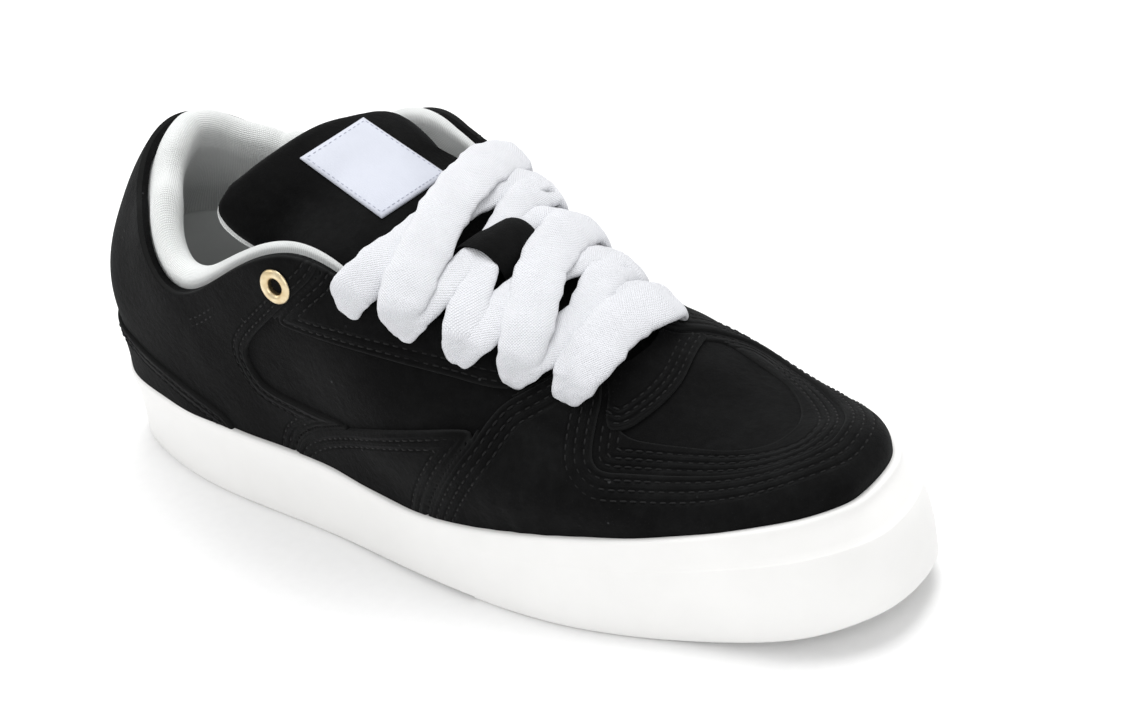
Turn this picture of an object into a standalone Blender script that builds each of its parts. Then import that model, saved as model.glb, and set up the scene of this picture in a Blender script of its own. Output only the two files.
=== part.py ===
# Low skateboarding shoe for the right foot: cup sole, insole, hollow suede upper with raised
# panels, padded collar, padded tongue with its label and lace keeper, flat laces and eyelets.
# Metres. +X points to the toe, +Y to the inner side of the foot, +Z up. The origin is on the
# floor under the middle of the shoe.

import math

import bmesh
import bpy
import numpy as np
from mathutils import Matrix, Vector

# Driving sizes of the whole shoe.
SHOE_LENGTH = 0.300
BALL_WIDTH = 0.110
SOLE_HEIGHT = 0.034  # sole side at the heel
INSTEP_HEIGHT = 0.098  # crest of the last at half length, above the floor
COLLAR_HEIGHT = 0.092  # suede edge at the heel, above the floor
CLEARANCE = 0.0003  # between touching pieces

# Sole.
TOE_SPRING = 0.010
HEEL_BEVEL = 0.0012
SOLE_LIP = 0.0060  # how far the suede stands inside the sole's widest outline, at the ball
RIM_THICKNESS = 0.0036  # cup wall around the suede
BUMPER_STEP = 0.0005  # ledge where the toe bumper ends
FOOT_ROUND = 0.0024  # rounded lower edge
ARCH_RECESS = 0.0018
ARCH_START, ARCH_END = 0.34, 0.575  # shares of the length
GROOVE_DEPTH = 0.0014
GROOVE_WIDTH = 0.0016
GROOVE_PITCH = 0.0085
ZIGZAG_WIDTH = 0.012
ZIGZAG_DEPTH = 0.0035
TREAD_MARGIN = 0.010
FORE_TREAD = (0.60, 0.82)
HEEL_TREAD = (0.04, 0.31)

# Insole and upper.
INSOLE_THICKNESS = 0.004
UPPER_WALL = 0.0020
SHOE_COLUMNS = 64  # facets once round the shoe
UPPER_ROWS = 11
BELLY = 0.0030  # outward swell of the wall between sole and topline
THROAT_FRONT = 0.6858  # share of the length where the throat ends
THROAT_HALF_GAP = BALL_WIDTH * 0.1609  # at the front of the throat
THROAT_SPREAD = BALL_WIDTH * 0.1827  # more half gap at the topmost eyelets
THROAT_BACK = 0.42
THROAT_ROUND = 0.010

# Raised panels.
PANEL_LIFT = 0.0005
PANEL_THICKNESS = 0.0012
BAND_THICKNESS = 0.0007
PANEL_MARGIN = 0.0008
SEAM_GAP = 0.0006
TIP_ROUND = 0.006  # where the columns meet over the toe, they are merged

# Padded collar.
COLLAR_PAD = 0.0105
COLLAR_DEPTH = 0.60  # share of the wall's girth that the lining covers
COLLAR_RISE = 0.0105
COLLAR_END = 5.55
# Station and share of COLLAR_PAD, then station and share of COLLAR_RISE.
COLLAR_PAD_AT = ((0.0, 1.00), (2.0, 1.00), (3.4, 0.90), (4.3, 0.55), (5.0, 0.30), (5.6, 0.20))
COLLAR_RISE_AT = ((0.0, 1.00), (1.5, 0.88), (2.6, 0.77), (3.4, 0.51), (4.3, 0.34), (5.0, 0.26), (5.6, 0.19))
# Outline of the roll: up the wall (0 at the topline) and inward, as shares.
COLLAR_PROFILE = (
    # up, inward
    (-1.00, 0.00),
    (-0.50, 0.00),
    (-0.04, 0.00),
    (0.12, -0.04),
    (0.55, -0.08),
    (0.92, 0.14),
    (1.00, 0.42),
    (0.80, 0.76),
    (0.25, 0.98),
    (-0.25, 1.00),
    (-0.62, 0.80),
    (-1.00, 0.15),
)

# Tongue.
TONGUE_SKIN = 0.0014
TONGUE_THICKNESS = 0.0060
TONGUE_TUCK = 0.011  # how far its edges reach below the topline
TONGUE_COLUMNS = 13
TONGUE_STEPS = 16
LABEL_ROWS = (0.67, 0.72, 0.78, 0.84, 0.90, 0.945)
LABEL_COLUMNS = (-0.34, -0.17, 0.0, 0.17, 0.34)
LABEL_THICKNESS = 0.0008
KEEPER_ROWS = (0.37, 0.40, 0.44, 0.47)
KEEPER_COLUMNS = (-0.16, -0.05, 0.05, 0.16)
KEEPER_THICKNESS = 0.0010

# Laces and eyelets.
LACE_WIDTH = 0.0165
LACE_THICKNESS = 0.0046
EYELETS = (5.60, 6.13, 6.64, 7.12, 7.62)  # stations of the lace holes, from the top
EYELET_INSET = (0.0080, 0.0085, 0.0085, 0.0085, 0.0095)  # from the throat edge, at each row
INNER_EYELET_INSET = (0.0055, 0.0055, 0.0055, 0.0055, 0.0060)
LACE_HOLE = 0.0050
LACE_GROUND = 0.0040  # underside of a strand over the upper's surface
LACE_OVER_TONGUE = 0.0008
LACE_STEPS = 13
LACE_SIDES = 8
RING_RADIUS = 0.0060
RING_HOLE = 0.0041
RING_THICKNESS = 0.0011
RING_STATION = 4.80
RING_BELOW_TOP = 0.0098

# One row for each section of the last, from the heel to the toe.
# along: place of the section at the sole's edge, share of the length
# outer, inner: distance of the sole's edge from the axis, shares of half the ball width
# lip: share of SOLE_LIP
# line: height of the sole's top edge, share of SOLE_HEIGHT
# floor: height of the cup's inside, share of SOLE_HEIGHT
# crest: height of the section's top, share of INSTEP_HEIGHT
# axis: where the section's crest is, share of the length
# ridge: sideways place of the crest, share of half the ball width
# power: squareness of the section
# belly: share of BELLY
# top, inner_top: height of the topline on the outer and the inner side, shares of COLLAR_HEIGHT
COLUMNS = "along outer inner lip line floor crest axis ridge power belly top inner_top".split()
SECTIONS = (
    (0.000, 0.000, 0.000, 0.557, 0.949, 0.550, 1.204, 0.191, 0.008, 2.611, 1.071, 1.161, 1.161),
    (0.028, 0.473, 0.420, 0.296, 0.830, 0.550, 1.161, 0.191, 0.013, 2.649, 1.079, 1.123, 1.136),
    (0.085, 0.692, 0.647, 0.325, 0.791, 0.540, 1.189, 0.184, 0.013, 2.669, 0.826, 1.066, 1.105),
    (0.170, 0.815, 0.740, 0.506, 0.795, 0.530, 1.582, 0.200, 0.001, 2.803, 0.952, 0.821, 0.850),
    (0.270, 0.854, 0.755, 0.567, 0.801, 0.510, 1.986, 0.266, -0.024, 3.199, 1.350, 0.958, 1.063),
    (0.380, 0.876, 0.757, 0.588, 0.790, 0.480, 1.608, 0.369, -0.046, 3.191, 1.332, 1.129, 1.151),
    (0.490, 0.934, 0.807, 0.637, 0.717, 0.440, 1.135, 0.472, -0.057, 2.757, 1.149, 1.167, 1.161),
    (0.600, 0.958, 0.871, 0.853, 0.810, 0.400, 0.832, 0.599, 0.002, 2.485, 0.923, 1.700, 1.700),
    (0.700, 0.906, 0.954, 1.004, 0.945, 0.380, 0.668, 0.701, 0.056, 2.318, 0.565, 1.800, 1.800),
    (0.790, 0.769, 0.911, 1.191, 1.026, 0.380, 0.575, 0.784, 0.090, 2.238, 0.247, 1.800, 1.800),
    (0.870, 0.633, 0.823, 1.454, 1.158, 0.420, 0.546, 0.848, 0.111, 2.139, 0.188, 1.800, 1.800),
    (0.940, 0.476, 0.641, 1.721, 1.285, 0.500, 0.570, 0.884, 0.120, 2.106, 0.184, 1.800, 1.800),
    (0.985, 0.234, 0.385, 2.093, 1.317, 0.570, 0.574, 0.900, 0.120, 2.158, 0.241, 1.800, 1.800),
    (1.000, -0.032, 0.073, 2.356, 1.308, 0.600, 0.559, 0.905, 0.120, 2.204, 0.367, 1.800, 1.800),
)
LAST = len(SECTIONS) - 1  # station number of the toe tip
LOOP = 2 * LAST  # stations once round the shoe

# Panel outlines seen from the side: share of SHOE_LENGTH, share of COLLAR_HEIGHT.
TOE_CAP_SIDE = (
    (0.521, 0.200),
    (0.524, 0.285),
    (0.546, 0.404),
    (0.568, 0.501),
    (0.595, 0.612),
    (0.601, 0.659),
    (0.612, 0.720),
    (0.628, 0.743),
    (0.645, 0.766),
    (0.672, 0.810),
    (0.690, 0.900),
    (1.050, 0.900),
    (1.050, 0.200),
)
EYESTAY_SIDE = (
    (0.343, 0.858),
    (0.380, 0.852),
    (0.451, 0.849),
    (0.535, 0.808),
    (0.604, 0.752),
    (0.622, 0.762),
    (0.640, 0.786),
    (0.666, 0.828),
    (0.684, 0.920),
    (0.684, 1.300),
    (0.425, 1.300),
    (0.421, 1.100),
    (0.382, 0.990),
)
ARCH_SIDE = (
    (0.325, 0.200),
    (0.329, 0.335),
    (0.364, 0.427),
    (0.430, 0.515),
    (0.507, 0.605),
    (0.589, 0.656),
    (0.588, 0.612),
    (0.561, 0.501),
    (0.539, 0.404),
    (0.517, 0.285),
    (0.514, 0.200),
)
QUARTER_SIDE = (
    (0.319, 0.200),
    (0.323, 0.345),
    (0.357, 0.437),
    (0.390, 0.482),
    (0.420, 0.521),
    (0.408, 0.512),
    (0.355, 0.508),
    (0.302, 0.528),
    (0.286, 0.580),
    (0.281, 0.661),
    (0.297, 0.741),
    (0.340, 0.872),
    (0.374, 0.976),
    (0.413, 1.100),
    (0.415, 1.300),
    (-0.100, 1.300),
    (-0.100, 0.200),
)
COUNTER_SIDE = (
    (0.240, 0.200),
    (0.234, 0.323),
    (0.195, 0.378),
    (0.152, 0.414),
    (0.085, 0.474),
    (0.030, 0.496),
    (-0.050, 0.500),
    (-0.050, 0.200),
)
# Panel outlines seen from above: share of SHOE_LENGTH, share of half BALL_WIDTH.
TOE_CAP_PLAN = (
    (0.620, -0.240),
    (0.676, -0.240),
    (0.690, -0.330),
    (0.698, -0.440),
    (0.709, -0.585),
    (0.716, -0.620),
    (0.728, -0.625),
    (0.755, -0.549),
    (0.792, -0.456),
    (0.830, -0.355),
    (0.869, -0.242),
    (0.903, -0.111),
    (0.916, 0.020),
    (0.914, 0.190),
    (0.900, 0.330),
    (0.872, 0.470),
    (0.832, 0.600),
    (0.782, 0.710),
    (0.738, 0.735),
    (0.718, 0.700),
    (0.702, 0.540),
    (0.694, 0.420),
    (0.682, 0.300),
    (0.620, 0.290),
)
VAMP_PLAN = (
    (0.700, -0.200),
    (0.717, -0.462),
    (0.776, -0.311),
    (0.825, -0.176),
    (0.859, -0.035),
    (0.866, 0.080),
    (0.863, 0.178),
    (0.844, 0.333),
    (0.813, 0.460),
    (0.790, 0.515),
    (0.749, 0.535),
    (0.712, 0.550),
    (0.700, 0.200),
)
STRIP_PLAN = (
    (0.620, -0.200),
    (0.680, -0.210),
    (0.695, -0.310),
    (0.704, -0.410),
    (0.714, -0.452),
    (0.724, -0.400),
    (0.731, -0.335),
    (0.738, -0.147),
    (0.735, 0.050),
    (0.724, 0.211),
    (0.712, 0.370),
    (0.705, 0.500),
    (0.699, 0.420),
    (0.686, 0.270),
    (0.620, 0.260),
)

# Tongue rows, from under the vamp to its top. First, station and half width in metres.
TONGUE_FRONT = ((8.35, 0.012), (8.00, 0.016))
# Then station, and the middle's place: shares of the length and of INSTEP_HEIGHT.
TONGUE_TUCKED = (
    (7.60, 0.660, 0.715),
    (7.20, 0.615, 0.780),
    (6.70, 0.560, 0.865),
    (6.20, 0.505, 0.945),
    (5.65, 0.450, 1.020),
    (5.15, 0.405, 1.080),
)
# Then five points across each row: shares of the length, half ball width and INSTEP_HEIGHT.
TONGUE_FREE = (
    (
        (0.300, -0.61, 0.945),
        (0.340, -0.42, 1.080),
        (0.362, 0.0, 1.130),
        (0.368, 0.40, 1.085),
        (0.384, 0.50, 0.985),
    ),
    (
        (0.278, -0.645, 1.020),
        (0.308, -0.42, 1.138),
        (0.330, 0.0, 1.172),
        (0.341, 0.40, 1.130),
        (0.358, 0.52, 1.050),
    ),
    (
        (0.264, -0.63, 1.085),
        (0.285, -0.42, 1.170),
        (0.303, 0.0, 1.207),
        (0.315, 0.40, 1.157),
        (0.329, 0.54, 1.090),
    ),
    (
        (0.264, -0.52, 1.135),
        (0.274, -0.34, 1.185),
        (0.290, 0.0, 1.217),
        (0.301, 0.32, 1.172),
        (0.310, 0.52, 1.110),
    ),
)
# Share of the tongue's length, share of TONGUE_THICKNESS.
TONGUE_PADDING = ((0.0, 0.30), (0.25, 0.40), (0.55, 0.80), (0.75, 1.00), (0.95, 1.00), (1.0, 0.75))

# Lace strands: outer hole, inner hole, lift over the strands below, narrowing and forward sag
# in the middle.
LACE_RUNS = (
    (4, 4, 0.0026, 0.05, 0.0),
    (3, 4, 0.0000, 0.20, 0.0),
    (4, 3, 0.0000, 0.20, 0.0),
    (3, 2, 0.0030, 0.05, 0.0),
    (2, 3, 0.0000, 0.25, 0.0),
    (1, 2, 0.0000, 0.45, 0.0),
    (2, 1, 0.0000, 0.45, 0.0),
    (1, 0, 0.0030, 0.05, 0.0),
    (0, 1, 0.0000, 0.15, 0.0),
)

BLACK_SUEDE = ((0.012, 0.012, 0.013), 0.95, 0.0)
WHITE_RUBBER = ((0.86, 0.86, 0.84), 0.45, 0.0)
WHITE_FABRIC = ((0.80, 0.82, 0.82), 0.85, 0.0)
GREY_FABRIC = ((0.10, 0.10, 0.10), 0.90, 0.0)
LACE_WHITE = ((0.83, 0.84, 0.87), 0.85, 0.0)
LABEL_WHITE = ((0.80, 0.82, 0.88), 0.60, 0.0)
BRASS = ((0.72, 0.60, 0.36), 0.35, 1.0)


def clear_scene():
    for thing in list(bpy.data.objects):
        bpy.data.objects.remove(thing, do_unlink=True)


def collection(name):
    made = bpy.data.collections.new(name)
    bpy.context.scene.collection.children.link(made)
    return made


def material(name, look):
    colour, rough, metal = look
    made = bpy.data.materials.new(name)
    made.use_nodes = True
    shader = made.node_tree.nodes["Principled BSDF"]
    shader.inputs["Base Color"].default_value = (*colour, 1.0)
    shader.inputs["Roughness"].default_value = rough
    shader.inputs["Metallic"].default_value = metal
    return made


def loop_spline(values):
    """Second derivatives of the closed cubic through values at whole station numbers."""
    values = np.asarray(values, float)
    count = len(values)
    matrix = np.eye(count) * 4 + np.roll(np.eye(count), 1, 0) + np.roll(np.eye(count), -1, 0)
    bend = 6 * (np.roll(values, -1, 0) - 2 * values + np.roll(values, 1, 0))
    return values, np.linalg.solve(matrix, bend)


def at_station(spline, u):
    """Value of a closed cubic at any station number, for an array of stations."""
    values, bends = spline
    u = np.asarray(u, float) % LOOP
    first = np.floor(u).astype(int) % LOOP
    after = (first + 1) % LOOP
    t = u - np.floor(u)
    if values.ndim > 1:
        t = t[..., None]
    smooth = ((1 - t) ** 3 - (1 - t)) / 6 * bends[first] + (t**3 - t) / 6 * bends[after]
    return (1 - t) * values[first] + t * values[after] + smooth


def build_splines():
    """One closed spline for each column, with the outer side first and the inner side after the toe."""
    table = {name: np.array(column) for name, column in zip(COLUMNS, zip(*SECTIONS))}
    half = BALL_WIDTH / 2
    shift = SHOE_LENGTH / 2
    out_side = np.stack([table["along"] * SHOE_LENGTH - shift, -table["outer"] * half], -1)
    in_side = np.stack([table["along"] * SHOE_LENGTH - shift, table["inner"] * half], -1)
    sizes = {
        "lip": table["lip"] * SOLE_LIP,
        "line": table["line"] * SOLE_HEIGHT,
        "floor": table["floor"] * SOLE_HEIGHT,
        "crest": table["crest"] * INSTEP_HEIGHT,
        "axis": np.stack([table["axis"] * SHOE_LENGTH - shift, table["ridge"] * half], -1),
        "power": table["power"],
        "belly": table["belly"] * BELLY,
    }
    splines = {name: loop_spline(np.concatenate([v, v[-2:0:-1]])) for name, v in sizes.items()}
    tops = np.concatenate([table["top"], table["inner_top"][-2:0:-1]]) * COLLAR_HEIGHT
    splines["top"] = loop_spline(tops)
    splines["outline"] = loop_spline(np.concatenate([out_side, in_side[-2:0:-1]]))
    return splines


SPLINES = build_splines()


def of(name, u):
    return at_station(SPLINES[name], u)


def inward(u):
    """Unit vector across the outline, pointing into the shoe."""
    step = 0.01
    along = of("outline", np.asarray(u) + step) - of("outline", np.asarray(u) - step)
    along /= np.linalg.norm(along, axis=-1, keepdims=True)
    return np.stack([-along[..., 1], along[..., 0]], -1)


def edge(u, inset):
    """Point of the plan outline moved into the shoe."""
    return of("outline", u) + inward(u) * np.asarray(inset)[..., None]


def station_at(along, inner_side=False):
    """Station number where the outline passes a share of the length, on one side."""
    stations = np.linspace(0, LAST, 1301)
    if inner_side:
        stations = LOOP - stations
    place = of("outline", stations)[:, 0] + SHOE_LENGTH / 2
    return float(np.interp(along * SHOE_LENGTH, place, stations))


def section(u, angle, outward=0.0):
    """Outer surface of the upper at station u. The angle runs from 0 at the sole line to a
    quarter turn at the crest, and below 0 the wall goes straight down into the cup."""
    u, angle = np.broadcast_arrays(np.asarray(u, float), np.asarray(angle, float))
    base = edge(u, of("lip", u) + CLEARANCE)
    axis = of("axis", u)
    line, crest, power = of("line", u), of("crest", u), of("power", u)
    bent = np.clip(angle, 0, math.pi / 2)
    rise = np.sin(bent) ** (2 / power)
    reach = 1 - np.abs(np.cos(bent)) ** (2 / power)
    swell = of("belly", u) * np.sin(math.pi * np.clip(rise * 1.25, 0, 1)) ** 2
    plan = base + (axis - base) * reach[..., None] - inward(u) * swell[..., None]
    cup = of("floor", u) + CLEARANCE
    height = np.where(angle < 0, line + angle * (line - cup), line + (crest - line) * rise)
    points = np.concatenate([plan, height[..., None]], -1)
    if np.any(outward):
        points = points + normal(u, angle) * np.asarray(outward)[..., None]
    return points


def normal(u, angle):
    """Outward normal of the upper's surface."""
    du, da = 0.02, 0.02
    safe = np.clip(angle, 0.06, math.pi / 2 - 0.05)
    along = section(u + du, safe) - section(u - du, safe)
    up = section(u, safe + da) - section(u, safe - da)
    out = np.cross(along, up)
    return out / np.linalg.norm(out, axis=-1, keepdims=True)


def angle_at_height(u, height):
    line, crest, power = of("line", u), of("crest", u), of("power", u)
    share = np.clip((height - line) / (crest - line), 0, 1)
    return np.arcsin(share ** (power / 2))


def throat_half_gap(u):
    """Half width of the throat opening at a station, 0 in front of it."""
    along = (of("axis", u)[..., 0] + SHOE_LENGTH / 2) / SHOE_LENGTH
    back = np.clip((THROAT_FRONT - along) / (THROAT_FRONT - THROAT_BACK), 0, 1)
    gap = THROAT_HALF_GAP + THROAT_SPREAD * back
    into = np.clip((THROAT_FRONT - along) * SHOE_LENGTH / THROAT_ROUND, 0, 1)
    return gap * np.sqrt(1 - (1 - into) ** 2)


def rim_angle(u):
    """Angle of the topline: the lower of the collar's curve and the throat's edge, blended."""
    u = np.asarray(u, float)
    reach = np.linalg.norm(of("axis", u) - edge(u, of("lip", u)), axis=-1)
    share = np.clip(throat_half_gap(u) / reach, 0, 0.93)
    by_gap = np.arccos(share ** (of("power", u) / 2))
    by_top = angle_at_height(u, of("top", u))
    blend = 0.05
    low = -blend * np.log(np.exp(-by_gap / blend) + np.exp(-by_top / blend))
    closed = throat_half_gap(u) <= 0
    return np.where(closed, math.pi / 2, np.minimum(low, np.minimum(by_gap, by_top)))


def girth_angle(u, share):
    """Angle that lies a share of the way up the wall, measured along the surface."""
    u, share = np.broadcast_arrays(np.asarray(u, float), np.asarray(share, float))
    steps = 49
    found = np.empty(u.shape)
    for index in np.ndindex(u.shape):
        angles = np.linspace(0, float(rim_angle(u[index])), steps)
        points = section(np.full(steps, u[index]), angles)
        run = np.concatenate([[0], np.cumsum(np.linalg.norm(np.diff(points, axis=0), axis=1))])
        room = PANEL_MARGIN
        wanted = np.clip(share[index] * run[-1], room, run[-1] - room)
        if throat_half_gap(u[index]) <= 0:
            wanted = np.clip(share[index] * run[-1], room, run[-1])
        found[index] = np.interp(wanted, run, angles)
    return found


def through(points, count):
    """Evenly spaced points on a smooth curve through hand-picked ones."""
    points = np.asarray(points, float)
    padded = np.concatenate([[2 * points[0] - points[1]], points, [2 * points[-1] - points[-2]]])
    fine = []
    for i in range(1, len(padded) - 2):
        p0, p1, p2, p3 = padded[i - 1 : i + 3]
        for t in np.linspace(0, 1, 16, endpoint=False):
            fine.append(
                0.5 * (2 * p1 + (p2 - p0) * t + (2 * p0 - 5 * p1 + 4 * p2 - p3) * t**2
                       + (3 * p1 - p0 - 3 * p2 + p3) * t**3)
            )
    fine = np.array([*fine, points[-1]])
    run = np.concatenate([[0], np.cumsum(np.linalg.norm(np.diff(fine, axis=0), axis=1))])
    places = np.linspace(0, run[-1], count)
    return np.stack([np.interp(places, run, fine[:, k]) for k in range(fine.shape[1])], -1)


def columns(count):
    """Station numbers once round the shoe, the same on both sides, closer at the throat's end."""
    side = list(np.linspace(0, LAST, count // 2 + 1))
    end = station_at(THROAT_FRONT)
    front = [u for u in np.linspace(0, LAST, 1301) if throat_half_gap(u) <= 0][0]
    side = [u for u in side if abs(u - front) > 0.10]
    side += [front - 0.30, front - 0.14, front - 0.04, front]
    side = sorted(side)
    return np.array(side + [LOOP - u for u in side[-2:0:-1]])


def mesh_object(name, points, faces, look, target):
    mesh = bpy.data.meshes.new(name)
    mesh.from_pydata([tuple(map(float, p)) for p in points], [], faces)
    work = bmesh.new()
    work.from_mesh(mesh)
    bmesh.ops.remove_doubles(work, verts=work.verts, dist=1e-6)
    bmesh.ops.dissolve_degenerate(work, edges=work.edges, dist=1e-7)
    work.to_mesh(mesh)
    work.free()
    mesh.materials.append(look)
    made = bpy.data.objects.new(name, mesh)
    target.objects.link(made)
    mesh.shade_smooth()
    mesh.set_sharp_from_angle(angle=math.radians(40))
    return made


def ring_faces(rows, count, closed_ring=True):
    faces = []
    last = count if closed_ring else count - 1
    for i in range(rows - 1):
        for j in range(last):
            k = (j + 1) % count
            faces.append((i * count + j, i * count + k, (i + 1) * count + k, (i + 1) * count + j))
    return faces


def cross_cap(start, count, flip=False):
    """Faces that join each point of a ring to its mate on the other side of the shoe."""
    faces = []
    for j in range(count // 2):
        a, b = start + j, start + j + 1
        c, d = start + (count - j - 1) % count, start + (count - j) % count
        face = [a, b, c, d]
        face = [p for i, p in enumerate(face) if p not in face[:i]]
        faces.append(tuple(face[::-1]) if flip else tuple(face))
    return faces


def apply_modifiers(thing):
    graph = bpy.context.evaluated_depsgraph_get()
    made = bpy.data.meshes.new_from_object(thing.evaluated_get(graph))
    thing.modifiers.clear()
    thing.data = made


def boolean(thing, other, operation="DIFFERENCE"):
    change = thing.modifiers.new("cut " + other.name, "BOOLEAN")
    change.operation = operation
    change.solver = "EXACT"
    change.object = other


def hide_cutter(thing, cutters):
    for home in list(thing.users_collection):
        home.objects.unlink(thing)
    cutters.objects.link(thing)
    thing.hide_render = True
    thing.display_type = "WIRE"
    return thing


def prism(name, outline, depth, turn, cutters):
    """A flat outline extruded to both sides, as a mesh cutter."""
    curve = bpy.data.curves.new(name, "CURVE")
    curve.dimensions = "2D"
    curve.fill_mode = "BOTH"
    curve.extrude = depth
    spline = curve.splines.new("POLY")
    spline.points.add(len(outline) - 1)
    for point, (x, y) in zip(spline.points, outline):
        point.co = (x, y, 0, 1)
    spline.use_cyclic_u = True
    drawn = bpy.data.objects.new(name + "_outline", curve)
    cutters.objects.link(drawn)
    drawn.matrix_world = turn
    bpy.context.view_layer.update()
    graph = bpy.context.evaluated_depsgraph_get()
    mesh = bpy.data.meshes.new_from_object(drawn.evaluated_get(graph))
    made = bpy.data.objects.new(name, mesh)
    made.matrix_world = turn
    cutters.objects.link(made)
    bpy.data.objects.remove(drawn, do_unlink=True)
    work = bmesh.new()
    work.from_mesh(mesh)
    bmesh.ops.remove_doubles(work, verts=work.verts, dist=1e-6)
    bmesh.ops.recalc_face_normals(work, faces=work.faces)
    work.to_mesh(mesh)
    work.free()
    return hide_cutter(made, cutters)


def ground(u):
    """Height of the sole's lower edge: a small bevel at the heel and the toe spring."""
    along = (of("outline", u)[..., 0] + SHOE_LENGTH / 2) / SHOE_LENGTH
    spring = TOE_SPRING * np.clip((along - 0.76) / 0.24, 0, 1) ** 1.8
    bevel = HEEL_BEVEL * np.clip((0.05 - along) / 0.05, 0, 1)
    return spring + bevel


def make_sole(target, cutters, look):
    u = columns(SHOE_COLUMNS)
    lip, line, low = of("lip", u), of("line", u), ground(u)
    side = line - low
    bumper = np.clip((lip / SOLE_LIP - 0.9) / 0.6, 0, 1) * BUMPER_STEP
    wide = lip - RIM_THICKNESS
    none = np.zeros_like(u)
    profile = (
        # inset from the widest outline, height
        (none + FOOT_ROUND, low),
        (none + FOOT_ROUND * 0.25, low + FOOT_ROUND * 0.75),
        (none, low + side * 0.34),
        (wide * 0.26, low + side * 0.72),
        (wide * 0.30 + bumper, low + side * 0.745),
        (wide * 0.88, line - 0.0016),
        (wide + RIM_THICKNESS * 0.35, line),
        (lip, line - 0.0003),
        (lip, of("floor", u)),
    )
    rings = [np.concatenate([edge(u, inset), height[:, None]], -1) for inset, height in profile]
    count = len(u)
    faces = ring_faces(len(rings), count)
    faces += cross_cap(0, count, flip=True)
    faces += cross_cap((len(rings) - 1) * count, count)
    sole = mesh_object("cup_sole", np.concatenate(rings), faces, look, target)
    boolean(sole, arch_cutter(cutters))
    boolean(sole, tread_cutter(cutters))
    return sole


def arch_cutter(cutters):
    """The shallow hollow under the arch, with its step at the front and a soft run-out behind."""
    x0 = ARCH_START * SHOE_LENGTH - SHOE_LENGTH / 2
    x1 = ARCH_END * SHOE_LENGTH - SHOE_LENGTH / 2
    below = -0.004
    outline = [(x0, below), (x1, below), (x1, ARCH_RECESS)]
    for t in np.linspace(1, 0, 9):
        x = x0 + (x1 - x0) * 0.93 * t
        outline.append((x, ARCH_RECESS * math.sin(t * math.pi / 2) - (0.0004 if t == 0 else 0)))
    turn = Matrix.Rotation(math.radians(90), 4, "X")
    return prism("arch_hollow", outline, BALL_WIDTH, turn, cutters)


def half_widths(x):
    """Sole edge on both sides at one place along the shoe."""
    share = (x + SHOE_LENGTH / 2) / SHOE_LENGTH
    out = of("outline", station_at(share))[1]
    inn = of("outline", station_at(share, True))[1]
    return out, inn


def tread_cutter(cutters):
    """Zigzag grooves across the forefoot and the heel."""
    points, faces = [], []
    for first, last in (FORE_TREAD, HEEL_TREAD):
        start = first * SHOE_LENGTH - SHOE_LENGTH / 2
        rows = int((last - first) * SHOE_LENGTH / GROOVE_PITCH)
        for row in range(rows + 1):
            x = start + row * GROOVE_PITCH
            out, inn = half_widths(x)
            zigs = max(3, int((inn - out - 2 * TREAD_MARGIN) / (ZIGZAG_WIDTH / 2)))
            ys = np.linspace(out + TREAD_MARGIN, inn - TREAD_MARGIN, zigs + 1)
            near = station_at((x + SHOE_LENGTH / 2) / SHOE_LENGTH)
            top = GROOVE_DEPTH + float(ground(np.array([near]))[0])
            base = len(points)
            for i, y in enumerate(ys):
                bent = x + (ZIGZAG_DEPTH if i % 2 else 0)
                for dx, z in ((0, -0.003), (GROOVE_WIDTH, -0.003), (GROOVE_WIDTH, top), (0, top)):
                    points.append((bent + dx, y, z))
            for i in range(zigs):
                a, b = base + 4 * i, base + 4 * (i + 1)
                for k in range(4):
                    m = (k + 1) % 4
                    faces.append((a + k, a + m, b + m, b + k))
            faces.append((base, base + 3, base + 2, base + 1))
            end = base + 4 * zigs
            faces.append((end, end + 1, end + 2, end + 3))
    mesh = bpy.data.meshes.new("tread_grooves")
    mesh.from_pydata(points, [], faces)
    facing_out(mesh)
    made = bpy.data.objects.new("tread_grooves", mesh)
    cutters.objects.link(made)
    return hide_cutter(made, cutters)


def make_insole(target, look):
    u = columns(SHOE_COLUMNS)
    inset = of("lip", u) + UPPER_WALL + 2 * CLEARANCE + 0.0004
    low = of("floor", u) + CLEARANCE
    rings = [
        np.concatenate([edge(u, inset + 0.0003), low[:, None]], -1),
        np.concatenate([edge(u, inset), (low + INSOLE_THICKNESS * 0.9)[:, None]], -1),
        np.concatenate([edge(u, inset + 0.0015), (low + INSOLE_THICKNESS)[:, None]], -1),
        np.concatenate([edge(u, inset + 0.010), (low + INSOLE_THICKNESS * 0.8)[:, None]], -1),
    ]
    count = len(u)
    faces = ring_faces(len(rings), count) + cross_cap(0, count, flip=True)
    faces += cross_cap((len(rings) - 1) * count, count)
    return mesh_object("insole", np.concatenate(rings), faces, look, target)


def make_upper(target, look):
    u, rows = upper_grid()
    rows = [section(u, -1.0), *rows]
    upper = mesh_object("upper", np.concatenate(rows), ring_faces(len(rows), len(u)), look, target)
    work = bmesh.new()
    work.from_mesh(upper.data)
    merge_tip(work)
    work.to_mesh(upper.data)
    work.free()
    wall = upper.modifiers.new("wall", "SOLIDIFY")
    wall.thickness = UPPER_WALL
    wall.offset = -1
    wall.use_even_offset = False
    return upper


def girth_rows(u, rims, share):
    """Angles at an even share of the way up each column."""
    steps = 33
    found = []
    for station, rim in zip(u, rims):
        angles = np.linspace(0, rim, steps)
        points = section(np.full(steps, station), angles)
        run = np.concatenate([[0], np.cumsum(np.linalg.norm(np.diff(points, axis=0), axis=1))])
        found.append(np.interp(share * run[-1], run, angles))
    return np.array(found)


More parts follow.
